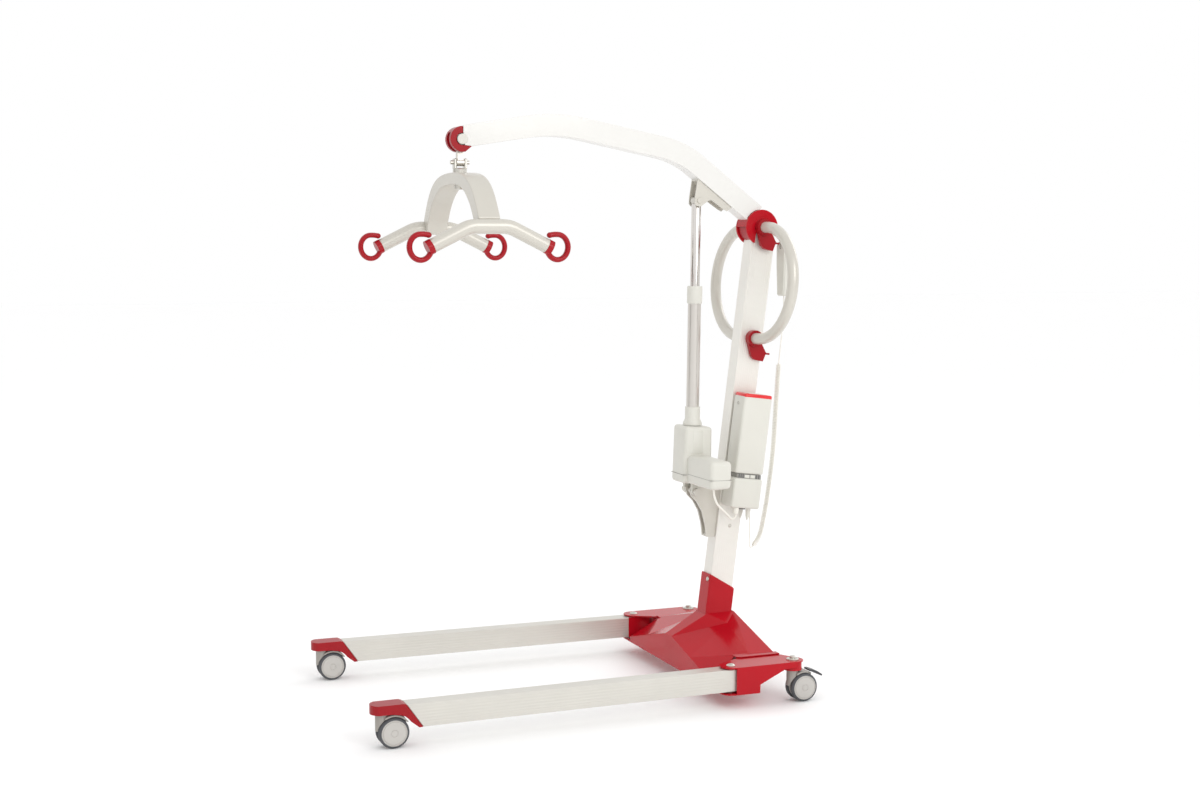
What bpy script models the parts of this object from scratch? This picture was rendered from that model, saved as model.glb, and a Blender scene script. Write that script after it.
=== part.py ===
"""Mobile patient lift hoist: a wheeled base with spreading legs, a leaning mast, a boom and a sling bar.

Sizes are in millimetres and are turned into metres by the helpers. X is the hoist's left, -Y is forward,
where the legs point, and Z is up from the floor. The origin is the middle of the floor area.
"""

import math

import bmesh
import bpy
from mathutils import Matrix, Vector

MM = 0.001
GAP = 0.3

# Where the leg pivots lie along Y, so that the origin is the middle of the length.
PIVOT_Y = 321.9

# Base and legs.
PIVOT_X = 324.4
TOE_OUT_DEG = 0.66
FLOOR_PLATE_Z = 38.0
SHEET = 3.5
WING_TOP_Z = 110.0
WING_OUTER_X = 354.5
LEG_WIDTH = 44.0
LEG_Z = (46.5, 104.0)
LEG_WALL = 3.0
LEG_REAR_Y = 40.0
FRONT_CASTOR_Y = -918.6
REAR_CASTOR_X = 326.8
REAR_CASTOR_Y = 177.2
SKIRT_Y = -31.0

# Castors.
WHEEL_RADIUS = 37.5
WHEEL_OUTER_X = 23.0
WHEEL_INNER_X = 8.5
CASTOR_TRAIL = 26.0
AXLE_RADIUS = 4.0
CASTOR_TOP_Z = 84.0

# Mast, leaning rearwards. Its own frame has Z along it, and its foot on the floor.
MAST_LEAN_DEG = 7.2
MAST_FOOT_Y = 84.0
MAST_WIDTH = 49.0
MAST_DEPTH = 68.0
MAST_WALL = 3.5

# Boom and its drive.
BOOM_PIVOT = (228.0, 1231.0)
BOOM_WIDTH = 50.0
BOOM_HEIGHT = 56.0
HINGE_RADIUS = 48.0
HINGE_WIDTH = 66.0
TIP_PIN = (-615.2, 1450.0)
ROD_PIVOT = (46.0, 1302.0)
CYLINDER_PIVOT = (34.5, 517.0)

# Sling bar.
CROSS_PIN_Z = 1392.0
BAR_X = 248.0
HOOK_Y = 173.0
HOOK_Z = 1178.5
BAR_RADIUS = 18.0


def clear_scene():
    for item in list(bpy.data.objects):
        bpy.data.objects.remove(item)
    for item in list(bpy.data.collections):
        bpy.data.collections.remove(item)


clear_scene()
PARTS = bpy.data.collections.new("patient_lift_hoist")
bpy.context.scene.collection.children.link(PARTS)


def material(name, colour, roughness, metallic=0.0):
    made = bpy.data.materials.new(name)
    made.use_nodes = True
    shader = made.node_tree.nodes["Principled BSDF"]
    shader.inputs["Base Color"].default_value = (*colour, 1.0)
    shader.inputs["Roughness"].default_value = roughness
    shader.inputs["Metallic"].default_value = metallic
    return made


RED_PAINT = material("red_paint", (0.55, 0.015, 0.03), 0.25)
RED_PLASTIC = material("red_plastic", (0.34, 0.02, 0.03), 0.4)
WHITE_PAINT = material("white_paint", (0.86, 0.86, 0.84), 0.3)
ALUMINIUM = material("anodised_aluminium", (0.78, 0.76, 0.71), 0.38, 0.9)
SILVER_PAINT = material("silver_paint", (0.66, 0.64, 0.60), 0.32, 0.3)
CHROME = material("chrome", (0.82, 0.80, 0.78), 0.08, 1.0)
STEEL = material("zinc_steel", (0.62, 0.60, 0.55), 0.35, 1.0)
WHITE_PLASTIC = material("white_plastic", (0.80, 0.79, 0.75), 0.45)
GREY_PLASTIC = material("grey_plastic", (0.52, 0.50, 0.47), 0.5)
HOUSING_GREY = material("housing_grey", (0.46, 0.44, 0.41), 0.45)
DARK_PLASTIC = material("dark_plastic", (0.05, 0.05, 0.055), 0.5)
TYRE_GREY = material("tyre_grey", (0.10, 0.10, 0.11), 0.6)
CABLE = material("cable_sheath", (0.72, 0.69, 0.64), 0.5)


# Helpers. Each one makes a mesh object whose points are in the hoist's frame.


SIDES = ((1, "left"), (-1, "right"))


def metres(point):
    """A point given from the leg pivots' line, in millimetres, as one from the origin, in metres."""
    return Vector((point[0] * MM, (point[1] + PIVOT_Y) * MM, point[2] * MM))


def add(name, mesh, skin):
    """Links a mesh as one sub-part."""
    made = bpy.data.objects.new(name, mesh)
    mesh.materials.clear()
    mesh.materials.append(skin)
    PARTS.objects.link(made)
    return made


def from_bmesh(name, grown, skin):
    mesh = bpy.data.meshes.new(name)
    grown.to_mesh(mesh)
    grown.free()
    return add(name, mesh, skin)


def evaluated(made):
    """Replaces an object by its evaluated mesh, with coincident points welded."""
    bpy.context.view_layer.update()
    graph = bpy.context.evaluated_depsgraph_get()
    mesh = bpy.data.meshes.new_from_object(made.evaluated_get(graph))
    mesh.transform(made.matrix_world)
    grown = bmesh.new()
    grown.from_mesh(mesh)
    bmesh.ops.remove_doubles(grown, verts=grown.verts, dist=1e-6)
    bmesh.ops.recalc_face_normals(grown, faces=grown.faces)
    grown.to_mesh(mesh)
    grown.free()
    name = made.name
    skins = [slot.material for slot in made.material_slots]
    bpy.data.objects.remove(made)
    return add(name, mesh, skins[0])


def box(name, low, high, skin, bevel=0.0, segments=2):
    """A box between two corners, with its edges rounded."""
    grown = bmesh.new()
    bmesh.ops.create_cube(grown, size=1.0)
    size = [(high[i] - low[i]) * MM for i in range(3)]
    centre = metres([(high[i] + low[i]) / 2 for i in range(3)])
    bmesh.ops.transform(grown, matrix=Matrix.Diagonal((*size, 1.0)), verts=grown.verts)
    bmesh.ops.translate(grown, vec=centre, verts=grown.verts)
    made = from_bmesh(name, grown, skin)
    return rounded(made, bevel, segments) if bevel else made


def rounded(made, width, segments=2, angle=30):
    """Rounds an object's edges that are sharper than the angle."""
    bevel = made.modifiers.new("rounding", "BEVEL")
    bevel.width = width * MM
    bevel.segments = segments
    bevel.limit_method = "ANGLE"
    bevel.angle_limit = math.radians(angle)
    return evaluated(made)


AXES = {
    "X": Matrix.Rotation(math.radians(90), 4, "Y"),
    "Y": Matrix.Rotation(math.radians(-90), 4, "X"),
    "Z": Matrix.Identity(4),
}


def cylinder(name, centre, radius, length, axis, skin, sides=32, top_radius=None):
    """A cylinder or a cone about an axis, given by its centre."""
    grown = bmesh.new()
    bmesh.ops.create_cone(
        grown,
        cap_ends=True,
        segments=sides,
        radius1=radius * MM,
        radius2=(radius if top_radius is None else top_radius) * MM,
        depth=length * MM,
    )
    bmesh.ops.transform(grown, matrix=AXES[axis], verts=grown.verts)
    bmesh.ops.translate(grown, vec=metres(centre), verts=grown.verts)
    return from_bmesh(name, grown, skin)


def turned(name, profile, centre, axis, skin, sides=32):
    """Turns a profile of (radius, height) about an axis through the centre. It runs from the top down."""
    mesh = bpy.data.meshes.new(name)
    points = [(radius * MM, 0.0, height * MM) for radius, height in profile]
    mesh.from_pydata(points, [(i, i + 1) for i in range(len(points) - 1)], [])
    made = add(name, mesh, skin)
    screw = made.modifiers.new("turning", "SCREW")
    screw.axis = "Z"
    screw.steps = sides
    screw.render_steps = sides
    screw.use_merge_vertices = True
    screw.merge_threshold = 0.00001
    made.matrix_world = Matrix.Translation(metres(centre)) @ AXES[axis]
    return evaluated(made)


def sheet(name, outline, low, high, axis, skin):
    """A flat outline given thickness along an axis, from low to high.

    The outline's points are (Y, Z) for the axis X, (X, Z) for Y and (X, Y) for Z.
    """
    curve = bpy.data.curves.new(name, "CURVE")
    curve.dimensions = "2D"
    curve.fill_mode = "BOTH"
    curve.extrude = (high - low) / 2 * MM
    spline = curve.splines.new("POLY")
    spline.use_cyclic_u = True
    spline.points.add(len(outline) - 1)
    shift = {"X": (PIVOT_Y, 0.0), "Y": (0.0, 0.0), "Z": (0.0, PIVOT_Y)}[axis]
    for point, (first, second) in zip(spline.points, outline):
        point.co = ((first + shift[0]) * MM, (second + shift[1]) * MM, 0.0, 1.0)
    made = bpy.data.objects.new(name, curve)
    curve.materials.append(skin)
    PARTS.objects.link(made)
    middle = (high + low) / 2 * MM
    if axis == "X":
        turn = Matrix(((0, 0, 1, middle), (1, 0, 0, 0), (0, 1, 0, 0), (0, 0, 0, 1)))
    elif axis == "Y":
        turn = Matrix(((1, 0, 0, 0), (0, 0, -1, middle + PIVOT_Y * MM), (0, 1, 0, 0), (0, 0, 0, 1)))
    else:
        turn = Matrix.Translation((0.0, 0.0, middle))
    made.matrix_world = turn
    return evaluated(made)


def tube(name, points, radius, skin, resolution=3):
    """A round bar along a route of points, with flat ends."""
    curve = bpy.data.curves.new(name, "CURVE")
    curve.dimensions = "3D"
    curve.bevel_depth = radius * MM
    curve.bevel_resolution = resolution
    curve.use_fill_caps = True
    spline = curve.splines.new("POLY")
    spline.points.add(len(points) - 1)
    for point, place in zip(spline.points, points):
        point.co = (*metres(place), 1.0)
    made = bpy.data.objects.new(name, curve)
    curve.materials.append(skin)
    PARTS.objects.link(made)
    return evaluated(made)


def combined(made, others, operation):
    """Joins other solids to one, cuts them away or keeps what is shared, and removes the others."""
    for other in others:
        change = made.modifiers.new(operation.lower(), "BOOLEAN")
        change.operation = operation
        change.solver = "EXACT"
        change.object = other
        made = evaluated(made)
        bpy.data.objects.remove(other)
    return made


def cut(made, *others):
    return combined(made, others, "DIFFERENCE")


def join(made, *others):
    return combined(made, others, "UNION")


def keep(made, *others):
    return combined(made, others, "INTERSECT")


def mirrored(made, name):
    """The same piece on the hoist's other side."""
    mesh = made.data.copy()
    mesh.transform(Matrix.Scale(-1.0, 4, (1.0, 0.0, 0.0)))
    mesh.flip_normals()
    return add(name, mesh, made.data.materials[0])


def moved(made, matrix):
    made.data.transform(matrix)
    return made


def smooth(made, angle=35):
    made.data.shade_smooth()
    made.data.set_sharp_from_angle(angle=math.radians(angle))
    return made


def arc(centre, radius, start_deg, end_deg, steps):
    """Points of an arc, in degrees from the first axis towards the second."""
    turns = [math.radians(start_deg + (end_deg - start_deg) * i / steps) for i in range(steps + 1)]
    return [(centre[0] + radius * math.cos(t), centre[1] + radius * math.sin(t)) for t in turns]


def smooth_route(points, count):
    """Evenly spaced points on a Catmull-Rom curve through the given ones."""
    knots = [Vector(p) for p in points]
    ends = [knots[0] * 2 - knots[1]] + knots + [knots[-1] * 2 - knots[-2]]
    fine = []
    for i in range(1, len(ends) - 2):
        for step in range(24):
            t = step / 24
            a, b, c, d = ends[i - 1 : i + 3]
            fine.append(
                0.5
                * (
                    2 * b
                    + (c - a) * t
                    + (2 * a - 5 * b + 4 * c - d) * t * t
                    + (3 * b - a - 3 * c + d) * t * t * t
                )
            )
    fine.append(knots[-1])
    lengths = [0.0]
    for before, after in zip(fine, fine[1:]):
        lengths.append(lengths[-1] + (after - before).length)
    places = []
    at = 0
    for i in range(count):
        wanted = lengths[-1] * i / (count - 1)
        while at < len(fine) - 2 and lengths[at + 1] < wanted:
            at += 1
        span = lengths[at + 1] - lengths[at]
        places.append(fine[at].lerp(fine[at + 1], (wanted - lengths[at]) / span))
    return places


def carrier(name, place, pieces):
    """An empty on a joint's axis that carries the pieces which move about it."""
    empty = bpy.data.objects.new(name, None)
    empty.empty_display_size = 0.05
    empty.location = metres(place)
    PARTS.objects.link(empty)
    bpy.context.view_layer.update()
    for piece in pieces:
        piece.parent = empty
        piece.matrix_parent_inverse = empty.matrix_world.inverted()
    return empty


MAST_FRAME = (
    Matrix.Translation(metres((0, MAST_FOOT_Y, 0)))
    @ Matrix.Rotation(-math.radians(MAST_LEAN_DEG), 4, "X")
    @ Matrix.Translation(-metres((0, MAST_FOOT_Y, 0)))
)
LEAN = math.radians(MAST_LEAN_DEG)


def along_mast(place):
    """A (Y, Z) place in the mast's own frame."""
    y = place[0] - MAST_FOOT_Y
    return (
        y * math.cos(LEAN) - place[1] * math.sin(LEAN),
        y * math.sin(LEAN) + place[1] * math.cos(LEAN),
    )


def mast_point(t, s):
    """The (Y, Z) of a place in the mast's own frame."""
    return (
        MAST_FOOT_Y + t * math.cos(LEAN) + s * math.sin(LEAN),
        s * math.cos(LEAN) - t * math.sin(LEAN),
    )


# Castors: a housing that swivels on a bolt, and a pair of wheels on one axle behind it.


def wheel_clearance(side, x, y):
    inner = WHEEL_INNER_X - 0.8
    centre = (x + side * (inner + 20), y + CASTOR_TRAIL, WHEEL_RADIUS)
    return cylinder("clearance", centre, WHEEL_RADIUS + 1.2, 40, "X", DARK_PLASTIC, 40)


def castor(name, x, y, braked):
    """One castor, with its swivel axis at a place. Returns its housing and its pair of wheels."""
    axle = (y + CASTOR_TRAIL, WHEEL_RADIUS)
    stem = cylinder("stem", (x, y, 63.0), 15.5, 42.0 - GAP, "Z", HOUSING_GREY, 24)
    web_outline = [
        (y - 10, 60),
        *arc(axle, 10, 200, 330, 5),
        (y + 46, 60),
        *arc(axle, 42.5, 52 if braked else 30, 118, 7),
    ]
    web = sheet("web", web_outline, x - 7, x + 7, "X", HOUSING_GREY)
    start = 74 if braked else 36
    hood_outline = arc(axle, 43.2, start, 122, 7) + arc(axle, 39.4, 122, start, 7)
    hood = sheet("hood", hood_outline, x - 19, x + 19, "X", DARK_PLASTIC)
    housing = join(stem, web, hood)
    housing = cut(housing, wheel_clearance(1, x, y), wheel_clearance(-1, x, y))
    housing = cut(
        housing,
        cylinder("bore", (x, *axle), AXLE_RADIUS + GAP, 60, "X", DARK_PLASTIC, 24),
    )
    housing.name = name + "_housing"
    half = [
        (WHEEL_OUTER_X, 0.0),
        (WHEEL_OUTER_X, 25.0),
        (WHEEL_OUTER_X - 1.2, 29.0),
        (WHEEL_OUTER_X - 3.0, 36.0),
        (WHEEL_OUTER_X - 6.0, WHEEL_RADIUS),
        (WHEEL_INNER_X + 3.5, WHEEL_RADIUS),
        (WHEEL_INNER_X, 34.5),
        (WHEEL_INNER_X, AXLE_RADIUS),
    ]
    profile = [(r, h) for h, r in half] + [(r, -h) for h, r in reversed(half)]
    wheels = turned(name + "_wheels", profile, (x, *axle), "X", TYRE_GREY, 28)
    return smooth(housing), smooth(wheels)


def hood_sweep(reach):
    """The height that a turning castor's hood needs, at a distance from the swivel axis."""
    along = math.sqrt(reach**2 - 19.0**2) - CASTOR_TRAIL
    return WHEEL_RADIUS + math.sqrt(44.5**2 - along**2)


def pedal_hinge(y):
    return (y + 44.0, 80.0)


def brake_pedal(name, x, y):
    """A foot pedal behind the hood, which presses on both wheels when it is trodden down."""
    outline = [
        (y + 42.5, 82.5),
        (y + 50.0, 82.0),
        (y + 66.0, 76.0),
        (y + 80.0, 66.5),
        (y + 78.0, 62.5),
        (y + 62.0, 70.0),
        (y + 48.0, 76.5),
        (y + 42.5, 78.0),
    ]
    return smooth(sheet(name, outline, x - 15, x + 15, "X", DARK_PLASTIC))


# Legs: an aluminium box profile with a cast end for the castor, and a lever inside the base.


def leg_frame(side):
    """The leg stands toed out a little about its pivot."""
    pivot = metres((side * PIVOT_X, 0, 0))
    turn = Matrix.Rotation(math.radians(side * TOE_OUT_DEG), 4, "Z")
    return Matrix.Translation(pivot) @ turn @ Matrix.Translation(-pivot)


def leg(side, word):
    x = side * PIVOT_X
    low, high = LEG_Z
    tip = FRONT_CASTOR_Y
    outline = [(tip + 95.5, low), (LEG_REAR_Y, low), (LEG_REAR_Y, high), (tip + 55.5, high)]
    profile = sheet("leg_" + word, outline, x - LEG_WIDTH / 2, x + LEG_WIDTH / 2, "X", ALUMINIUM)
    profile = rounded(profile, 1.5, 1, 60)
    inside = LEG_WIDTH / 2 - LEG_WALL
    profile = cut(
        profile,
        box("hollow", (x - inside, tip, low + LEG_WALL), (x + inside, 60, high - LEG_WALL), ALUMINIUM),
        cylinder("bore", (x, 0, 75), 8 + GAP, 90, "Z", ALUMINIUM, 24),
    )
    end_outline = [
        (tip - 30, CASTOR_TOP_Z + 0.5),
        (tip - 30, 107.0),
        (tip + 48, 107.0),
        (tip + 55, high + 0.5),
        (tip + 95, low),
        (tip + 86, low - 0.5),
        *[(tip + reach, hood_sweep(reach)) for reach in (66, 60, 52, 42, 32)],
        (tip + 22, 84.0),
    ]
    cap = sheet("leg_end_" + word, end_outline, x - 25, x + 25, "X", RED_PLASTIC)
    nose = arc((x, tip), 28.5, 180, 360, 12)
    plan = nose + [(x + 23, tip + 60), (x + 23, tip + 110), (x - 23, tip + 110), (x - 23, tip + 60)]
    cap = keep(cap, sheet("plan", plan, 30, 120, "Z", RED_PLASTIC))
    cap = smooth(rounded(cap, 1.6, 2, 40), 50)
    lever = box("lever_plug", (x - 18, LEG_REAR_Y + GAP, 50), (x + 18, 52, 100), STEEL, 1.0, 1)
    inner = x - side * 140
    low_x, high_x = sorted((inner - side * 9, x - side * 10))
    arm = box("arm", (low_x, 47, 74), (high_x, 69, 80), STEEL)
    pin = cylinder("pin", (inner, 60, 68), 5, 24, "Z", STEEL, 20)
    lever = join(lever, arm, pin)
    lever.name = "leg_lever_" + word
    frame = leg_frame(side)
    return [moved(piece, frame) for piece in (profile, cap)] + [lever]


# Base: a welded floor plate with two wings that hold the legs, and a cover that carries the mast's socket.


def wing_plan(side):
    """The wing's top, round about the leg's bolt in front and about the castor's bolt behind."""
    x = PIVOT_X
    right = [
        *arc((x, 0), 29, 205, 360, 9),
        (WING_OUTER_X, 12),
        (WING_OUTER_X, REAR_CASTOR_Y),
        *arc((REAR_CASTOR_X, REAR_CASTOR_Y), 27.5, 5, 150, 8),
        (262, 168),
        (246, 100),
        (262, 50),
    ]
    return [(side * px, py) for px, py in right]


def base_frame():
    plan = [(px, py) for px, py in arc((PIVOT_X, 0), 29, 270, 360, 5)]
    plan += [(WING_OUTER_X, 70), (40, 70), (40, 176)]
    plan += [(-px, py) for px, py in reversed(plan)]
    floor = sheet("base_frame", plan, FLOOR_PLATE_Z, FLOOR_PLATE_Z + SHEET, "Z", RED_PAINT)
    side_outline = [
        (4, FLOOR_PLATE_Z + 1),
        (70, FLOOR_PLATE_Z + 1),
        (71, 60),
        (142, 93),
        (REAR_CASTOR_Y, 95),
        (REAR_CASTOR_Y, WING_TOP_Z - 1),
        (4, WING_TOP_Z - 1),
    ]
    pieces = []
    for side in (1, -1):
        low, high = sorted((side * WING_OUTER_X, side * (WING_OUTER_X - SHEET)))
        pieces.append(sheet("side", side_outline, low, high, "X", RED_PAINT))
        top = sheet("top", wing_plan(side), WING_TOP_Z - SHEET, WING_TOP_Z, "Z", RED_PAINT)
        boss = cylinder(
            "boss",
            (side * REAR_CASTOR_X, REAR_CASTOR_Y, 95.5),
            24,
            22,
            "Z",
            RED_PAINT,
        )
        pieces += [top, boss]
    frame = join(floor, *pieces)
    for side in (1, -1):
        frame = cut(frame, cylinder("bore", (side * PIVOT_X, 0, 75), 8 + GAP, 120, "Z", RED_PAINT, 24))
    frame.name = "base_frame"
    return smooth(frame, 30)


def base_cover():
    """A folded steel cover: a ridge that climbs to the mast, with a flank falling to each wing."""
    top = WING_TOP_Z
    places = {
        "ridge_front": (20, SKIRT_Y, 121),
        "skirt_mid": (140, SKIRT_Y, 91),
        "skirt_end": (275, SKIRT_Y, 55),
        "skirt_foot": (275, SKIRT_Y, FLOOR_PLATE_Z + SHEET + 0.5),
        "socket_front": (30, 72, 178),
        "socket_rear": (30, 152, 178),
        "flank_front": (244, 52, top + 3.6),
        "flank_mid": (249, 90, top + 3.9),
        "flank_rear": (252, 160, top + 3.9),
        "crease": (74, 112, 158),
        "rear_foot": (60, 172, 128),
    }
    grown = bmesh.new()
    made = {}
    for word, (x, y, z) in places.items():
        for side in (1, -1):
            made[word, side] = grown.verts.new(metres((side * x, y, z)))
    for side in (1, -1):

        def face(*words):
            corners = [made[word, side] for word in words]
            grown.faces.new(corners if side > 0 else corners[::-1])

        face("ridge_front", "skirt_mid", "crease", "socket_front")
        face("skirt_mid", "flank_front", "flank_mid", "crease")
        face("flank_front", "skirt_mid", "skirt_end")
        face("socket_front", "crease", "socket_rear")
        face("crease", "flank_mid", "flank_rear", "rear_foot", "socket_rear")
    for first, second in (("ridge_front", "socket_front"), ("socket_rear", "rear_foot")):
        corners = ((first, 1), (second, 1), (second, -1), (first, -1))
        grown.faces.new([made[corner] for corner in corners])
    front = ["ridge_front", "skirt_mid", "skirt_end", "skirt_foot"]
    grown.faces.new([made[w, 1] for w in reversed(front)] + [made[w, -1] for w in front])
    bmesh.ops.recalc_face_normals(grown, faces=grown.faces)
    cover = from_bmesh("cover", grown, RED_PAINT)
    shell = cover.modifiers.new("sheet", "SOLIDIFY")
    shell.thickness = 3.0 * MM
    shell.offset = -1.0
    shell.use_even_offset = True
    cover = evaluated(cover)
    outer = MAST_WIDTH / 2 + 5.5
    deep = MAST_DEPTH / 2
    socket_outline = [
        (-deep - 5, 160),
        (deep + 5, 160),
        (deep + 5, 249),
        (-deep - 5, 284),
    ]
    shifted = [(y + MAST_FOOT_Y, z) for y, z in socket_outline]
    socket = sheet("socket", shifted, -outer, outer, "X", RED_PAINT)
    socket = rounded(socket, 4.0, 2, 60)
    inside = (MAST_WIDTH / 2 + GAP, deep + GAP)
    hollow = box(
        "hollow",
        (-inside[0], MAST_FOOT_Y - inside[1], 100),
        (inside[0], MAST_FOOT_Y + inside[1], 320),
        RED_PAINT,
    )
    socket = moved(socket, MAST_FRAME)
    hollow = moved(hollow, MAST_FRAME)
    cover = cut(join(cover, socket), hollow)
    cover.name = "base_cover"
    return smooth(cover, 20)


# Leg spreading drive, inside the base: a motor draws a crosshead, with a slot for the pin of each lever.

CROSSHEAD_Y = 60.0
CROSSHEAD_Z = (58.0, 72.0)
DRIVE_Z = 65.0


def spread_drive():
    low, high = CROSSHEAD_Z
    near = (-200, CROSSHEAD_Y - 11, low)
    crosshead = box("crosshead", near, (200, CROSSHEAD_Y + 11, high), STEEL, 1.0, 1)
    crosshead = join(crosshead, cylinder("rod", (0, 112, DRIVE_Z), 6, 86, "Y", STEEL, 20))
    for side in (1, -1):
        near, far = sorted((side * 165, side * 193))
        slot = box("slot", (near, CROSSHEAD_Y - 5.8, 40), (far, CROSSHEAD_Y + 5.8, 90), STEEL)
        crosshead = cut(crosshead, slot)
    crosshead.name = "spread_crosshead"
    motor = box("motor", (-28, 106, FLOOR_PLATE_Z + SHEET + GAP), (28, 168, 94), DARK_PLASTIC, 4.0, 2)
    motor = cut(motor, cylinder("bore", (0, 130, DRIVE_Z), 6.5, 64, "Y", DARK_PLASTIC, 20))
    motor.name = "spread_motor"
    return crosshead, motor


def leg_bolt(side, word):
    """The bolt that a leg turns on, through the base's two plates."""
    profile = [
        (0.0, 114.5),
        (6.0, 114.2),
        (10.5, 112.6),
        (11.5, WING_TOP_Z + GAP),
        (8.0, WING_TOP_Z + GAP),
        (8.0, FLOOR_PLATE_Z - GAP),
        (10.0, FLOOR_PLATE_Z - GAP),
        (10.0, 32.0),
        (0.0, 32.0),
    ]
    return smooth(turned("leg_bolt_" + word, profile, (side * PIVOT_X, 0, 0), "Z", STEEL, 20))


# Mast: an aluminium box profile with a rounded head for the boom's pin.

HEAD_RADIUS = 43.5
PIN_RADIUS = 14.0
PIVOT_T, PIVOT_S = along_mast(BOOM_PIVOT)


def mast():
    deep = MAST_DEPTH / 2
    front_drop = math.degrees(math.acos((deep + PIVOT_T) / -HEAD_RADIUS))
    centre = (MAST_FOOT_Y + PIVOT_T, PIVOT_S)
    outline = [
        (MAST_FOOT_Y + deep, 163),
        (MAST_FOOT_Y + deep, PIVOT_S - 26),
        (MAST_FOOT_Y + deep - 2, PIVOT_S - 14),
        *arc(centre, HEAD_RADIUS, 0, front_drop, 12),
        (MAST_FOOT_Y - deep, 163),
    ]
    made = sheet("mast", outline, -MAST_WIDTH / 2, MAST_WIDTH / 2, "X", ALUMINIUM)
    made = rounded(made, 2.0, 1, 60)
    inside = (MAST_WIDTH / 2 - MAST_WALL, deep - MAST_WALL)
    hollow = box(
        "hollow",
        (-inside[0], MAST_FOOT_Y - inside[1], 100),
        (inside[0], MAST_FOOT_Y + inside[1], PIVOT_S - 52),
        ALUMINIUM,
    )
    made = cut(made, hollow)
    made = moved(made, MAST_FRAME)
    made = cut(made, cylinder("bore", (0, *BOOM_PIVOT), PIN_RADIUS + GAP, 80, "X", STEEL, 32))
    made.name = "mast"
    return smooth(made)


def mast_envelope(spare):
    """The mast's outside, a little larger, to cut what stands against it."""
    half = (MAST_WIDTH / 2 + spare, MAST_DEPTH / 2 + spare)
    made = box(
        "envelope",
        (-half[0], MAST_FOOT_Y - half[1], 100),
        (half[0], MAST_FOOT_Y + half[1], 1190),
        ALUMINIUM,
    )
    return moved(made, MAST_FRAME)


def boom_pin():
    half = HINGE_WIDTH / 2
    profile = [(0, half), (PIN_RADIUS, half), (PIN_RADIUS, -half), (0, -half)]
    return smooth(turned("boom_pin", profile, (0, *BOOM_PIVOT), "X", STEEL, 32))


# Push handles: two bowed tubes that make a ring around the mast, each between two cast clamps.

HANDLE_X = 233.0
HANDLE_RADIUS = 15.0
UPPER_CLAMP = (33.6, 52.0)
LOWER_CLAMP = (MAST_WIDTH / 2 + GAP, 45.0)
LOWER_T = 3.5
LOWER_S = 938.0


def handle(side, word):
    middle = (PIVOT_S + LOWER_S) / 2
    rise = (PIVOT_S - LOWER_S) / 2
    bend = 62.0
    points = [(UPPER_CLAMP[1] + GAP, PIVOT_T, PIVOT_S)]
    for i in range(25):
        turn = math.radians(90 - 180 * i / 24)
        blend = (1 - math.sin(turn)) / 2
        points.append(
            (
                bend + (HANDLE_X - bend) * math.cos(turn),
                PIVOT_T + (LOWER_T - PIVOT_T) * blend,
                middle + rise * math.sin(turn),
            )
        )
    points.append((LOWER_CLAMP[1] + GAP, LOWER_T, LOWER_S))
    route = [(side * x, MAST_FOOT_Y + t, s) for x, t, s in points]
    made = tube("handle_" + word, route, HANDLE_RADIUS, SILVER_PAINT, 3)
    return smooth(moved(made, MAST_FRAME))


def clamp(name, side, span, place, reach):
    """A cast clamp: a round boss for the tube, and a flag with a hook pin that points to the rear."""
    near, far = (side * x for x in span)
    low, high = sorted((near, far))
    t, s = place
    y = MAST_FOOT_Y + t
    boss = cylinder("boss", ((low + high) / 2, y, s), 22, high - low, "X", RED_PLASTIC, 28)
    flag_outline = [
        (y - 20, s - 6),
        (y - 2, s - 50),
        (y + 8, s - 58),
        (y + 34, s - 60),
        (y + 41, s - 36),
        (y + 24, s - 12),
    ]
    inner = side * span[0]
    low, high = sorted((inner, inner + side * 12))
    flag = sheet("flag", flag_outline, low, high, "X", RED_PLASTIC)
    hook_place = (inner + side * 7, y + 38 + reach / 2, s - 38)
    hook = cylinder("hook", hook_place, 2.6, reach + 6, "Y", RED_PLASTIC, 12)
    made = join(boss, flag, hook)
    made.name = name
    return smooth(moved(made, MAST_FRAME))


# Boom: a bent box beam with a red hinge drum, a red tip, and a bracket for the drive's rod.

BOOM_LINE = [(-592.0, 1460.3), (-363.0, 1498.2), (-5.2, 1430.2), (214.0, 1264.6)]
BOOM_BENDS = [450.0, 258.0]
HINGE_BORE = 44.2


def boom_centreline():
    """The beam's centreline, with each corner bent to a radius, as (point, direction) pairs."""
    corners = [Vector(p) for p in BOOM_LINE]
    line = []
    ahead = (corners[1] - corners[0]).normalized()
    line.append((corners[0], ahead))
    for corner, after, radius in zip(corners[1:], corners[2:], BOOM_BENDS):
        leaving = (after - corner).normalized()
        bend = ahead.angle(leaving)
        start = corner - ahead * radius * math.tan(bend / 2)
        for i in range(8):
            turn = -bend * i / 7
            away = Vector((-ahead.y, ahead.x)) * -radius
            centre = start + away
            spoke = -away
            spoke.rotate(Matrix.Rotation(turn, 2))
            heading = ahead.copy()
            heading.rotate(Matrix.Rotation(turn, 2))
            line.append((centre + spoke, heading))
        ahead = leaving
    line.append((corners[-1], ahead))
    return line


def boom_outline(half, extra=0.0):
    """The beam's side outline, half its height to each side of the centreline."""
    line = boom_centreline()
    top = []
    under = []
    for i, (point, heading) in enumerate(line):
        reach = {0: -extra, len(line) - 1: extra}.get(i, 0.0)
        side = Vector((-heading.y, heading.x)) * half
        top.append(point + heading * reach + side)
        under.append(point + heading * reach - side)
    return top, under


NOSE_RADIUS = 15.0


def tip_slot():
    y, z = TIP_PIN
    return box("slot", (-11, y - 50, z - 60), (11, y + 26, z + 17), RED_PLASTIC)


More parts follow.
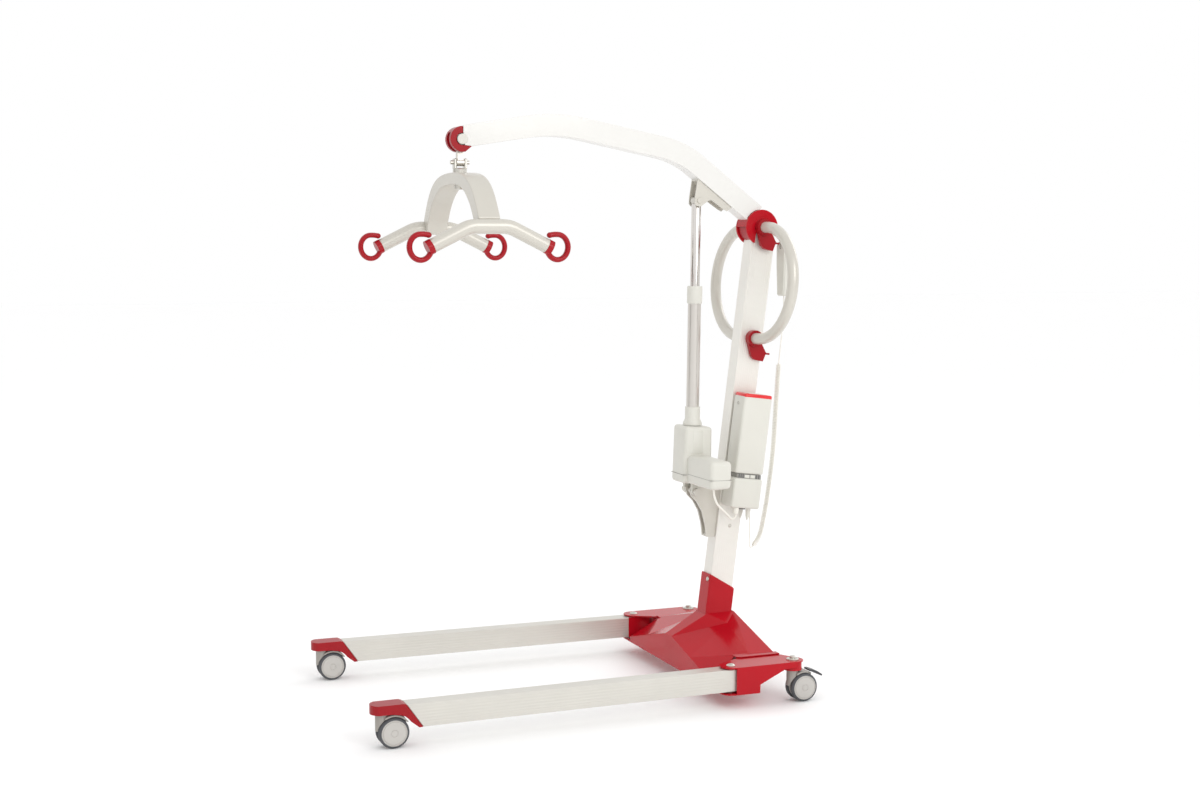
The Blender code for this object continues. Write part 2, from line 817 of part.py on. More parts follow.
def boom():
    y, z = TIP_PIN
    top, under = boom_outline(BOOM_HEIGHT / 2)
    nose = [(y + 3.0, z + 33.5), (y + 2.6, z + NOSE_RADIUS)]
    nose += arc((y, z), NOSE_RADIUS, 90, 270, 9)
    nose += [(y + 6.0, z - NOSE_RADIUS)]
    outline = nose + [tuple(p) for p in under] + [tuple(p) for p in reversed(top)]
    beam = sheet("boom", outline, -BOOM_WIDTH / 2, BOOM_WIDTH / 2, "X", WHITE_PAINT)
    beam = rounded(beam, 4.0, 2, 50)
    inner_top, inner_under = boom_outline(BOOM_HEIGHT / 2 - 3.0, 0.0)
    inner_top[0] += Vector((8, 1))
    inner_under[0] += Vector((8, 1))
    inner_top[-1] += Vector((60, -45))
    inner_under[-1] += Vector((60, -45))
    hollow_outline = [tuple(p) for p in inner_under] + [tuple(p) for p in reversed(inner_top)]
    half = BOOM_WIDTH / 2 - 3.0
    beam = cut(
        beam,
        sheet("hollow", hollow_outline, -half, half, "X", WHITE_PAINT),
        cylinder("seat", (0, *BOOM_PIVOT), HINGE_RADIUS + GAP, 80, "X", WHITE_PAINT, 56),
        tip_slot(),
        cylinder("bore", (0, *TIP_PIN), 8 + GAP, 80, "X", WHITE_PAINT, 24),
    )
    beam.name = "boom"
    return smooth(beam)


def boom_tip():
    """The red crescent that closes the beam's end around the hanger's pin."""
    y, z = TIP_PIN
    outline = arc((y + 1.5, z + 0.3), 32.5, 90, 282, 14)
    outline += [(y + 25, z - 17.8), (y + 6.0, z - NOSE_RADIUS - GAP)]
    outline += arc((y, z), NOSE_RADIUS + GAP, 270, 90, 9)
    outline += [(y + 1.6, z + NOSE_RADIUS + GAP)]
    tip = sheet("boom_tip", outline, -BOOM_WIDTH / 2, BOOM_WIDTH / 2, "X", RED_PLASTIC)
    tip = cut(rounded(tip, 3.0, 1, 50), tip_slot())
    tip.name = "boom_tip"
    return smooth(tip)


def tip_pin():
    half = BOOM_WIDTH / 2 + GAP
    profile = [
        (0, half + 3),
        (12, half + 3),
        (13.5, half + 1.5),
        (13.5, half),
        (8, half),
        (8, -half),
        (13.5, -half),
        (13.5, -half - 1.5),
        (12, -half - 3),
        (0, -half - 3),
    ]
    return smooth(turned("tip_pin", profile, (0, *TIP_PIN), "X", WHITE_PLASTIC, 20))


def boom_hinge():
    """A drum about the boom's pin: two cheeks beside the mast's head, joined over it by a shell."""
    y, z = BOOM_PIVOT
    half = HINGE_WIDTH / 2
    inner = MAST_WIDTH / 2 + 0.8
    over = arc((y, z), HINGE_RADIUS - 0.4, 35, 178, 18) + arc((y, z), HINGE_BORE, 178, 35, 18)
    drum = sheet("shell", over, -inner - 2, inner + 2, "X", RED_PAINT)
    for side in (1, -1):
        middle = side * (half + inner) / 2
        cheek = cylinder("cheek", (middle, y, z), HINGE_RADIUS, half - inner, "X", RED_PAINT, 40)
        drum = join(drum, rounded(cheek, 1.5, 1, 60))
    drum = cut(drum, cylinder("bore", (0, y, z), PIN_RADIUS + GAP, 90, "X", RED_PAINT, 32))
    tongue = [(y - 16, z), (y - 27, z - 70), (y + 70, z - 70), (y + 70, z - 14), (y + 16, z)]
    drum = cut(drum, sheet("tongue", tongue, -half - 5, half + 5, "X", RED_PAINT))
    drum.name = "boom_hinge"
    return smooth(drum)


def boom_bracket():
    """Two cheeks under the beam, joined by a plate, with a stub bolt in each for the rod's eye."""
    y, z = ROD_PIVOT
    outline = [
        (y - 2, z + 76),
        (y - 13, z + 8),
        (y - 14, z - 8),
        (y - 8, z - 15),
        (y + 4, z - 16),
        (y + 27, z),
        (y + 36, z + 1),
        (y + 72, z - 23),
        (y + 82, z - 28),
        (y + 95, z - 18),
        (y + 95, z + 30),
    ]
    cheeks = sheet("boom_bracket", outline, -20, 20, "X", SILVER_PAINT)
    top, under = boom_outline(BOOM_HEIGHT / 2 + GAP)
    beam = [tuple(p) for p in under] + [tuple(p) for p in reversed(top)]
    cheeks = cut(cheeks, sheet("beam", beam, -40, 40, "X", SILVER_PAINT))
    under = boom_outline(BOOM_HEIGHT / 2 + 5.0)[1]
    room = [tuple(p) for p in under[-11:]] + [(214, 1150), (-60, 1150)]
    cheeks = cut(cheeks, sheet("room", room, -16.5, 16.5, "X", SILVER_PAINT))
    for side in (1, -1):
        bolt = cylinder("bolt", (side * 21, y, z), 7, 4, "X", STEEL, 20)
        cheeks = join(cheeks, bolt)
    cheeks.name = "boom_bracket"
    return smooth(cheeks)


# Drive: a motor and gearbox on a pivot at the mast, with a tube that a chromed rod slides in.

DRIVE_TILT = math.atan2(ROD_PIVOT[0] - CYLINDER_PIVOT[0], ROD_PIVOT[1] - CYLINDER_PIVOT[1])
DRIVE_FRAME = (
    Matrix.Translation(metres((0, *CYLINDER_PIVOT)))
    @ Matrix.Rotation(-DRIVE_TILT, 4, "X")
    @ Matrix.Translation(-metres((0, *CYLINDER_PIVOT)))
)
ROD_RADIUS = 13.0


def drive_housing():
    y, z = CYLINDER_PIVOT
    tower = box("tower", (-41, y - 43, z + 23), (41, y + 43, z + 179), WHITE_PLASTIC, 7.0, 2)
    motor = box("motor", (-38, y - 31, z + 24), (190, y + 31, z + 102), WHITE_PLASTIC, 9.0, 2)
    lugs = []
    for side in (1, -1):
        outline = [(y - 11, z + 30), *arc((y, z), 11, 180, 360, 8), (y + 11, z + 30)]
        low, high = sorted((side * 19, side * 30))
        lugs.append(sheet("lug", outline, low, high, "X", WHITE_PLASTIC))
    made = join(tower, motor, *lugs)
    made = cut(
        made,
        cylinder("bore", (0, y, z), 6.3, 90, "X", STEEL, 18),
        cylinder("seat", (0, y, z + 179), 15, 40, "Z", STEEL, 32),
    )
    made.name = "drive_housing"
    return smooth(moved(made, DRIVE_FRAME), 40)


def drive_tube():
    y, z = CYLINDER_PIVOT
    bore = ROD_RADIUS + 0.6
    profile = [
        (0.0, z + 280),
        (bore, z + 280),
        (bore, z + 555),
        (19.0, z + 555),
        (19.8, z + 551),
        (19.8, z + 510),
        (17.7, z + 509),
        (17.7, z + 230),
        (20.5, z + 229),
        (20.5, z + 197),
        (25.7, z + 184),
        (25.7, z + 179 + GAP),
        (0.0, z + 179 + GAP),
    ]
    made = turned("drive_tube", profile, (0, y, 0), "Z", ALUMINIUM, 28)
    return smooth(moved(made, DRIVE_FRAME), 40)


def drive_rod():
    y, z = CYLINDER_PIVOT
    length = math.hypot(ROD_PIVOT[0] - y, ROD_PIVOT[1] - z)
    foot = 468.0
    top = length - 9
    made = cylinder("rod", (0, y, z + (foot + top) / 2), ROD_RADIUS, top - foot, "Z", CHROME, 28)
    eye = cylinder("eye", (0, y, z + length), 12.5, 24, "X", STEEL, 28)
    made = join(made, eye)
    made = cut(made, cylinder("bore", (0, y, z + length), 5.3, 40, "X", STEEL, 20))
    made.name = "drive_rod"
    return smooth(moved(made, DRIVE_FRAME), 40)


def drive_bracket():
    """A curved bracket on the mast's front, with the pin that the drive's foot turns on."""
    y, z = CYLINDER_PIVOT
    outline = [
        (y - 12, z + 4),
        *arc((y, z), 12.5, 160, 60, 5),
        (y + 100, z + 20),
        (y + 100, z - 129),
        (y + 40, z - 129),
        (y + 36, z - 96),
        (y + 26, z - 58),
        (y + 10, z - 30),
        (y - 6, z - 14),
    ]
    made = sheet("bracket", outline, -17, 17, "X", SILVER_PAINT)
    made = cut(made, mast_envelope(GAP))
    room = [(y - 40, z - 140), (y - 40, z + 40), (y + 52, z + 40), (y + 58, z - 100), (y + 30, z - 140)]
    made = cut(made, sheet("room", room, -10, 10, "X", SILVER_PAINT))
    profile = [(0, 42), (9, 42), (9, 32), (6, 32), (6, -32), (9, -32), (9, -42), (0, -42)]
    made = join(made, turned("pin", profile, (0, y, z), "X", STEEL, 20))
    made.name = "drive_bracket"
    return smooth(made)


def mast_cap():
    """The red filler between the mast's round head and the line of its front face."""
    y, z = BOOM_PIVOT
    front = MAST_FOOT_Y - MAST_DEPTH / 2 - GAP
    drop = math.degrees(math.acos((front - MAST_FOOT_Y - PIVOT_T) / -(HEAD_RADIUS - 0.4)))
    centre = (MAST_FOOT_Y + PIVOT_T, PIVOT_S)
    outline = arc(centre, HEAD_RADIUS - 0.4, 180 - drop, 180 + drop, 12)
    made = sheet("mast_cap", outline, -MAST_WIDTH / 2, MAST_WIDTH / 2, "X", RED_PLASTIC)
    return smooth(moved(made, MAST_FRAME))


# Sling bar: a yoke swings on the boom's pin, a link swings across in it, and the bar turns on the link.

BAR_Y = TIP_PIN[0]
ARCH_TOP_Z = 1366.0
ARCH_HALF = 28.0
STUD_RADIUS = 6.5
BAR_Z = 1228.0
BAR_FLAT = 50.0
BAR_BEND = 60.0
BAR_SLOPE = math.atan2(BAR_Z - HOOK_Z, 150.0 - BAR_FLAT)


def hanger_yoke():
    y, z = TIP_PIN
    web = box("web", (-8, y - 8, CROSS_PIN_Z), (8, y + 8, z), STEEL)
    eye = cylinder("eye", (0, y, z), 13, 19, "X", STEEL, 24)
    hub = cylinder("hub", (0, y, CROSS_PIN_Z), 9.5, 19.4, "Y", STEEL, 24)
    made = join(web, eye, hub)
    made = cut(
        made,
        cylinder("bore", (0, y, z), 8 + GAP, 40, "X", STEEL, 24),
        cylinder("cross_bore", (0, y, CROSS_PIN_Z), 5 + GAP, 40, "Y", STEEL, 20),
    )
    made.name = "hanger_yoke"
    return smooth(made)


def swivel_link():
    """A fork around the yoke, with its cross pin, and below it the collar, stud and nut that hold the bar."""
    made = cylinder("pin", (0, BAR_Y, CROSS_PIN_Z), 5, 49.2, "Y", STEEL, 20)
    for side in (1, -1):
        low, high = sorted((BAR_Y + side * 10.2, BAR_Y + side * 17))
        cheek = box("cheek", (-10, low, ARCH_TOP_Z + 9), (10, high, CROSS_PIN_Z + 10), STEEL, 2.0, 1)
        made = join(made, cheek)
    nut_top = ARCH_TOP_Z - 30.0 - 1.2
    profile = [
        (0, ARCH_TOP_Z + 12.0),
        (15.5, ARCH_TOP_Z + 12.0),
        (18.0, ARCH_TOP_Z + 9.0),
        (18.0, ARCH_TOP_Z + GAP),
        (STUD_RADIUS, ARCH_TOP_Z + GAP),
        (STUD_RADIUS, nut_top),
        (15.0, nut_top),
        (15.0, nut_top - 9.0),
        (13.0, nut_top - 11.0),
        (0, nut_top - 11.0),
    ]
    made = join(made, turned("stud", profile, (0, BAR_Y, 0), "Z", STEEL, 20))
    made.name = "swivel_link"
    return smooth(made)


def sling_arch():
    outer = [(258, 1222), (250, 1238), (231, 1271), (206, 1303), (175, 1330), (140, 1348), (100, 1360)]
    outer += [(50, 1365.2), (0, ARCH_TOP_Z)]
    inner = [(0, ARCH_TOP_Z - 30), (60, 1333.5), (98, 1325), (134, 1309), (170, 1283)]
    inner += [(198, 1250), (215, 1216)]
    right = outer[:-1]
    under = inner[1:]
    outline = [*right, (0, ARCH_TOP_Z), *[(-x, z) for x, z in reversed(right)]]
    outline += [*[(-x, z) for x, z in reversed(under)], inner[0], *under]
    made = sheet("sling_arch", outline, BAR_Y - ARCH_HALF, BAR_Y + ARCH_HALF, "Y", SILVER_PAINT)
    made = rounded(made, 6.0, 2, 40)
    for side in (1, -1):
        seat = cylinder("seat", (side * BAR_X, BAR_Y, BAR_Z), BAR_RADIUS + GAP, 90, "Y", SILVER_PAINT, 40)
        made = cut(made, seat)
    made = cut(made, cylinder("bore", (0, BAR_Y, ARCH_TOP_Z), STUD_RADIUS + GAP, 90, "Z", STEEL, 24))
    made.name = "sling_arch"
    return smooth(made)


def crossbar(side, word):
    """A bent round bar: level in the middle, with its two ends turned down to the hooks."""
    half_route = [(0.0, BAR_Z)]
    start = BAR_FLAT - BAR_BEND * math.tan(BAR_SLOPE / 2)
    for i in range(5):
        turn = BAR_SLOPE * i / 4
        half_route.append((start + BAR_BEND * math.sin(turn), BAR_Z - BAR_BEND * (1 - math.cos(turn))))
    half_route.append((150.0, HOOK_Z))
    route = [(side * BAR_X, BAR_Y - y, z) for y, z in reversed(half_route[1:])]
    route += [(side * BAR_X, BAR_Y + y, z) for y, z in half_route]
    return smooth(tube("crossbar_" + word, route, BAR_RADIUS, SILVER_PAINT, 4))


def sling_hook(side, end, word):
    """A cap on the crossbar's end, with a loop from under it, round and back over it to a mouth."""
    x = side * BAR_X
    y = BAR_Y + end * HOOK_Y
    ring = []
    for i in range(17):
        turn = math.radians(214 + (450 - 214) * i / 16)
        ring.append((x, y + end * 27.3 * math.cos(turn), HOOK_Z + 30.8 * math.sin(turn)))
    ring.append((x, y - end * 11, HOOK_Z + 30.5))
    ring.append((x, y - end * 21, HOOK_Z + 28.8))
    loop = tube("loop", ring, 6.9, RED_PAINT, 3)
    to_origin = Matrix.Translation(-metres((x, 0, 0)))
    loop = moved(loop, to_origin.inverted() @ Matrix.Scale(1.4, 4, (1, 0, 0)) @ to_origin)
    place = Vector((x, BAR_Y + end * 150.0, HOOK_Z))
    along = Vector((0, end * math.cos(BAR_SLOPE), -math.sin(BAR_SLOPE)))
    cap = tube("cap", [place + along * GAP, place + along * 8], BAR_RADIUS + 1.0, RED_PAINT, 3)
    made = join(loop, cap)
    made.name = "sling_hook_" + word
    return smooth(made, 50)


# Control box and battery on the mast's side, hand control on the upper clamp's pin, and their cords.

BOX_X = (26.0, 96.0)
BOX_T = (-34.0, 51.0)
BOX_S = (478.0, 560.0)
BATTERY_S = (572.0, 790.0)
GLAND = (60.0, 184.0, 470.0)
HANDSET_X = 45.0
HANDSET_Z = (1045.0, 1192.0)
HANDSET_Y = (277.0, 302.0)
HOOK_PIN = mast_point(PIVOT_T + 50, PIVOT_S - 38)
BUTTON_ROWS = (1158.0, 1136.0, 1106.0, 1084.0)
COIL_RADIUS = 7.0
WIRE_RADIUS = 1.45


def control_box():
    foot = MAST_FOOT_Y
    made = box(
        "control_box",
        (BOX_X[0], foot + BOX_T[0], BOX_S[0]),
        (BOX_X[1], foot + BOX_T[1], BOX_S[1]),
        WHITE_PLASTIC,
        5.0,
        2,
    )
    pedestal_low = (38, foot - 24, BOX_S[0] + 20)
    pedestal = box("pedestal", pedestal_low, (84, foot + 40, BOX_S[1] + 11), DARK_PLASTIC)
    back = MAST_WIDTH / 2 + GAP
    plate_low = (back, foot - 22, BOX_S[0] + 6)
    plate = box("plate", plate_low, (back + 4.2, foot + 22, BATTERY_S[1] - 60), WHITE_PLASTIC)
    t, s = along_mast((GLAND[1], GLAND[2]))
    gland = cylinder("gland", (GLAND[0], foot + t, s + 5), 6, 12, "Z", DARK_PLASTIC, 16)
    made = join(made, pedestal, plate, gland)
    made.name = "control_box"
    return smooth(moved(made, MAST_FRAME))


def battery():
    foot = MAST_FOOT_Y
    made = box(
        "battery",
        (BOX_X[0] + 5, foot + BOX_T[0], BATTERY_S[0]),
        (BOX_X[1], foot + BOX_T[1], BATTERY_S[1]),
        GREY_PLASTIC,
        7.0,
        2,
    )
    return smooth(moved(made, MAST_FRAME))


def hand_control():
    low, high = HANDSET_Z
    front, rear = HANDSET_Y
    outline = [
        (HANDSET_X - 20, low),
        (HANDSET_X + 20, low),
        (HANDSET_X + 22, low + 40),
        (HANDSET_X + 25, low + 80),
        (HANDSET_X + 25, high - 10),
        (HANDSET_X + 17, high),
        (HANDSET_X - 17, high),
        (HANDSET_X - 25, high - 10),
        (HANDSET_X - 25, low + 80),
        (HANDSET_X - 22, low + 40),
    ]
    made = sheet("hand_control", outline, front, rear, "Y", GREY_PLASTIC)
    made = rounded(made, 4.0, 1, 35)
    pin_z = HOOK_PIN[1]
    seat_high = (HANDSET_X + 4, front + 9, pin_z + 3.5)
    cuts = [box("seat", (HANDSET_X - 4, front - 5, pin_z - 14), seat_high, GREY_PLASTIC)]
    for z in BUTTON_ROWS:
        cuts.append(cylinder("well", (HANDSET_X, rear, z), 8 + GAP, 14, "Y", GREY_PLASTIC, 20))
    made = cut(made, *cuts)
    made.name = "hand_control"
    return smooth(made)


def hand_button(number, z):
    rear = HANDSET_Y[1]
    profile = [(0, 2.2), (6.2, 2.2), (8, 1.2), (8, -4.0), (0, -4.0)]
    return smooth(turned("hand_button_%d" % number, profile, (HANDSET_X, rear, z), "Y", DARK_PLASTIC, 16))


def cords():
    """The hand control's spiral cord: a straight wire, the coil's outside, and a straight wire to the box."""
    low = HANDSET_Z[0]
    coil_start = Vector((52, 272, 861))
    coil_end = Vector((58, 195, 362.5))
    wire = [(HANDSET_X, 288, low - GAP), (HANDSET_X, 288, 1010), (47, 284, 950), (50, 276, 890)]
    upper = smooth_route([*wire, coil_start + Vector((0, 0.1, GAP))], 22)
    cord_upper = tube("cord_upper", upper, WIRE_RADIUS, CABLE, 2)
    coil = [coil_start, (54, 263, 740), (55, 255, 620), (57, 240, 510), (58, 229, 450)]
    coil += [(58, 218, 400), (58, 208, 378), coil_end]
    cord_coil = tube("cord_coil", smooth_route(coil, 30), COIL_RADIUS, CABLE, 3)
    t, s = along_mast((GLAND[1], GLAND[2]))
    under = mast_point(t, s - 1 - GAP)
    wire = [
        coil_end + Vector((0, -GAP, -GAP)),
        (58.3, 190.0, 359.0),
        (58.6, 185.5, 360.5),
        (59, 183.5, 368),
        (60, 183.5, 400),
        (GLAND[0], under[0] - 1.0, under[1] - 20),
        (GLAND[0], *under),
    ]
    cord_lower = tube("cord_lower", smooth_route(wire, 32), WIRE_RADIUS, CABLE, 2)
    return [smooth(made, 50) for made in (cord_upper, cord_coil, cord_lower)]


def motor_cable():
    """The drive motor's cable, from under the motor to a plug in the control box."""
    y, z = mast_point(-13, BOX_S[0] - GAP)
    down = Vector((0, -math.sin(LEAN), -math.cos(LEAN)))
    socket = Vector((84, y, z))
    plug = tube("plug", [socket, socket + down * 16], 7.0, DARK_PLASTIC, 3)
    wire = [(163, 26, 540), (163, 27, 524), (158, 38, 502), (146, 56, 486), (126, 76, 473), (104, 98, 457)]
    wire += [(90, 113, 447), socket + down * 26, socket + down * 15]
    made = join(plug, tube("wire", smooth_route(wire, 28), 3.0, CABLE, 2))
    made.name = "motor_cable"
    return smooth(made, 50)


# Assembly: every piece at rest, with a carrier on each joint's axis for what moves about it.


def castor_set(word, x, y, braked):
    """A whole castor. Its wheels roll on their axle, and all of it swivels."""
    housing, wheels = castor("castor_" + word, x, y, braked)
    roll = carrier("joint_roll_" + word, (x, y + CASTOR_TRAIL, WHEEL_RADIUS), [wheels])
    swivelling = [housing, roll]
    if braked:
        pedal = brake_pedal("brake_pedal_" + word, x, y)
        swivelling.append(carrier("joint_brake_" + word, (x, *pedal_hinge(y)), [pedal]))
    return carrier("joint_swivel_" + word, (x, y, CASTOR_TOP_Z), swivelling)


def base():
    base_frame()
    base_cover()
    crosshead, _ = spread_drive()
    carrier("joint_spread_crosshead", (0, CROSSHEAD_Y, DRIVE_Z), [crosshead])
    for side, word in SIDES:
        leg_bolt(side, word)
        castor_set("rear_" + word, side * REAR_CASTOR_X, REAR_CASTOR_Y, True)
        front_x = side * PIVOT_X - side * math.radians(TOE_OUT_DEG) * FRONT_CASTOR_Y
        front = castor_set("front_" + word, front_x, FRONT_CASTOR_Y, False)
        carrier("joint_leg_" + word, (side * PIVOT_X, 0, LEG_Z[0]), [*leg(side, word), front])


def column():
    mast()
    mast_cap()
    boom_pin()
    drive_bracket()
    control_box()
    motor_cable()
    cords()
    for side, word in SIDES:
        handle(side, word)
        clamp("handle_clamp_upper_" + word, side, UPPER_CLAMP, (PIVOT_T, PIVOT_S), 12)
        clamp("handle_clamp_lower_" + word, side, LOWER_CLAMP, (LOWER_T, LOWER_S), 12)
    carrier("joint_battery", (BOX_X[0], *mast_point(0, BATTERY_S[0])), [battery()])
    held = [hand_control()]
    for number, z in enumerate(BUTTON_ROWS, 1):
        button = hand_button(number, z)
        held.append(carrier("joint_button_%d" % number, (HANDSET_X, HANDSET_Y[1], z), [button]))
    carrier("joint_hand_control", (HANDSET_X, *HOOK_PIN), held)


def lift():
    """The boom with the sling bar under its tip, and the drive that raises it."""
    turning = [sling_arch()]
    for side, word in SIDES:
        turning.append(crossbar(side, word))
        turning.append(sling_hook(side, 1, word + "_rear"))
        turning.append(sling_hook(side, -1, word + "_front"))
    bar = carrier("joint_sling_bar", (0, BAR_Y, ARCH_TOP_Z), turning)
    link = carrier("joint_side_swing", (0, BAR_Y, CROSS_PIN_Z), [swivel_link(), bar])
    yoke = carrier("joint_yoke_swing", (0, *TIP_PIN), [hanger_yoke(), link])
    pieces = [boom(), boom_tip(), tip_pin(), boom_hinge(), boom_bracket(), yoke]
    carrier("joint_boom", (0, *BOOM_PIVOT), pieces)
    rod = carrier("joint_drive_rod", (0, *ROD_PIVOT), [drive_rod()])
    carrier("joint_drive_tilt", (0, *CYLINDER_PIVOT), [drive_housing(), drive_tube(), rod])


base()
column()
lift()
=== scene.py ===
"""Looks of the mobile patient hoist: finishes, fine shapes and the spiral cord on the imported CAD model."""

import math

import bmesh
import bpy
from mathutils import Matrix, Vector


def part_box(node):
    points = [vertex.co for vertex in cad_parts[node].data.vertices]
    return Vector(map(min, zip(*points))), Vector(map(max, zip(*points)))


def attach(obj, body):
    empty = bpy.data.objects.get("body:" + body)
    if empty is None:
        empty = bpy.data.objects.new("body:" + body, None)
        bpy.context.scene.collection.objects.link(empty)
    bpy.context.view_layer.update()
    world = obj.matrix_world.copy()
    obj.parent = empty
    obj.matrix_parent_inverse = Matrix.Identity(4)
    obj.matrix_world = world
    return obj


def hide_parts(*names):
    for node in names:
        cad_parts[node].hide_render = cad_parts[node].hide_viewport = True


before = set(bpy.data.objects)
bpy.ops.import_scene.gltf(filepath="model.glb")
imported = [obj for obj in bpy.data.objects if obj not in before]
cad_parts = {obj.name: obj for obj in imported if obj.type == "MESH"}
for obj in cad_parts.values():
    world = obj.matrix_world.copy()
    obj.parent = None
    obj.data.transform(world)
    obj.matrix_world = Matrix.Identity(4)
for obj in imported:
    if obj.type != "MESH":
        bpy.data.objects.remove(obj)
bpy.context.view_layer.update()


# Where things are. Places are in millimetres from the point on the floor between the two leg bolts:
# X to the battery's side, Y to the rear, Z up. Parts of the mast also count t, across it, and s, along it.

bolt_low, bolt_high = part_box("leg_bolt_left")
ORIGIN_Y = (bolt_low[1] + bolt_high[1]) / 2 * 1000
LEAN = math.radians(7.2)
FOOT_Y = 84.0


def place(x, y, z):
    return Vector((x, y + ORIGIN_Y, z)) / 1000


def on_mast(x, t, s):
    """A place in millimetres, from its place in the leaning mast."""
    return (
        x,
        FOOT_Y + t * math.cos(LEAN) + s * math.sin(LEAN),
        s * math.cos(LEAN) - t * math.sin(LEAN),
    )


UPRIGHT = Matrix.Translation((0, ORIGIN_Y / 1000, 0)) @ Matrix.Scale(0.001, 4)
MAST_TURN = (
    Matrix.Translation((0, (FOOT_Y + ORIGIN_Y) / 1000, 0))
    @ Matrix.Rotation(-LEAN, 4, "X")
    @ Matrix.Scale(0.001, 4)
)


# Camera: a long view from the battery's side, a little in front of the middle and a little above it.

AZIMUTH = 1.19608
DOWN = 0.09325
lens = bpy.data.cameras.new("camera")
lens.lens = 49.951
lens.sensor_width = 36.0
lens.clip_end = 60.0
camera = bpy.data.objects.new("camera", lens)
back = Vector((math.sin(AZIMUTH) * math.cos(DOWN), -math.cos(AZIMUTH) * math.cos(DOWN), math.sin(DOWN)))
camera.rotation_euler = back.to_track_quat("Z", "Y").to_euler()
camera.location = place(4099.9, -1845.1, 1185.3)
bpy.context.scene.collection.objects.link(camera)
bpy.context.scene.camera = camera


# Finishes: each is a set of shader nodes on the object's own coordinates, with a slow cloud in the colour
# and roughness, a fine grain in the relief, and on the profiles a row of grooves.

PLACE_OUTPUT = 3
MATH_INPUTS = {"A": 0, "B": 1}
COAT_ROUGHNESS = 0.06
CLOUD_SCALE = 7.0
WANDER = 0.04
GRAIN_DEPTH = 0.0004


class Shade:
    """A socket of a material's nodes. Arithmetic on it adds Math nodes."""

    def __init__(self, tree, socket):
        self.tree = tree
        self.socket = socket

    def node(self, kind, settings=None, **links):
        return add_node(self.tree, kind, settings, **links)

    def calc(self, operation, first, second=0.0):
        return self.node("ShaderNodeMath", {"operation": operation}, A=first, B=second)

    def __add__(self, other):
        return self.calc("ADD", self, other)

    def __mul__(self, other):
        return self.calc("MULTIPLY", self, other)

    def __sub__(self, other):
        return self.calc("SUBTRACT", self, other)

    def wave(self, length):
        """A sine along this value, from 0 to 1, once per length."""
        return self.calc("SINE", self * (math.tau / length)) * 0.5 + 0.5


def add_node(tree, kind, settings=None, output=0, **links):
    """Adds one node: its settings first, then the values or links of its sockets."""
    made = tree.nodes.new(kind)
    for name, value in (settings or {}).items():
        if name == "stops":
            for element, (at, colour) in zip(made.color_ramp.elements, value):
                element.position = at
                element.color = (*colour, 1.0)
        else:
            setattr(made, name, value)
    for name, value in links.items():
        socket = made.inputs[MATH_INPUTS.get(name, name)]
        if isinstance(value, Shade):
            tree.links.new(value.socket, socket)
        else:
            socket.default_value = value
    return Shade(tree, made.outputs[output])


def finish(
    name, colour, roughness, metallic=0.0, coat=0.0, mottle=0.04, grain=900.0, relief=0.02, shine=0.5
):
    """A finish whose colour and roughness wander a little, with a fine surface grain."""
    made = bpy.data.materials.new(name)
    made.use_nodes = True
    tree = made.node_tree
    shader = tree.nodes["Principled BSDF"]
    shader.inputs["Metallic"].default_value = metallic
    shader.inputs["Coat Weight"].default_value = coat
    shader.inputs["Coat Roughness"].default_value = COAT_ROUGHNESS
    shader.inputs["Specular IOR Level"].default_value = shine
    where = add_node(tree, "ShaderNodeTexCoord", None, PLACE_OUTPUT)
    cloud = where.node("ShaderNodeTexNoise", None, Vector=where, Scale=CLOUD_SCALE, Detail=3.0)
    fine = where.node("ShaderNodeTexNoise", None, Vector=where, Scale=grain, Detail=2.0)
    dark = tuple(c * (1 - mottle) for c in colour)
    light = tuple(min(1.0, c * (1 + mottle)) for c in colour)
    tint = cloud.node("ShaderNodeValToRGB", {"stops": [(0.3, dark), (0.7, light)]}, Fac=cloud)
    rough = cloud * WANDER + fine * WANDER + (roughness - WANDER)
    bump = fine.node("ShaderNodeBump", None, Height=fine, Strength=relief, Distance=GRAIN_DEPTH)
    tree.links.new(tint.socket, shader.inputs["Base Color"])
    tree.links.new(rough.socket, shader.inputs["Roughness"])
    tree.links.new(bump.socket, shader.inputs["Normal"])
    return made


def coordinates(made):
    """The three coordinates of a finish's place on its object."""
    tree = made.node_tree
    where = add_node(tree, "ShaderNodeTexCoord", None, PLACE_OUTPUT)
    split = tree.nodes.new("ShaderNodeSeparateXYZ")
    tree.links.new(where.socket, split.inputs[0])
    return [Shade(tree, socket) for socket in split.outputs]


def add_relief(made, height, strength, distance):
    """Lays a further relief over a finish's own grain."""
    shader = made.node_tree.nodes["Principled BSDF"]
    grain = Shade(height.tree, shader.inputs["Normal"].links[0].from_socket)
    links = {"Height": height, "Strength": strength, "Distance": distance, "Normal": grain}
    bump = height.node("ShaderNodeBump", None, **links)
    height.tree.links.new(bump.socket, shader.inputs["Normal"])


# Studio: a pale floor that meets a pale sky, two soft lamps, and two dark cloths out of view for the
# bright metal to reflect.


def lamp(name, size, power, where, aim):
    light = bpy.data.lights.new(name, "AREA")
    light.shape = "DISK"
    light.size = size
    light.energy = power
    made = bpy.data.objects.new(name, light)
    made.location = where
    made.rotation_euler = (Vector(where) - Vector(aim)).to_track_quat("Z", "Y").to_euler()
    bpy.context.scene.collection.objects.link(made)


OBJECT_MIDDLE = (0, 0, 0.8)
FLOOR_REACH = 30
CLOTH_FOOT = 0.3
CLOTH_RISE = 2.4

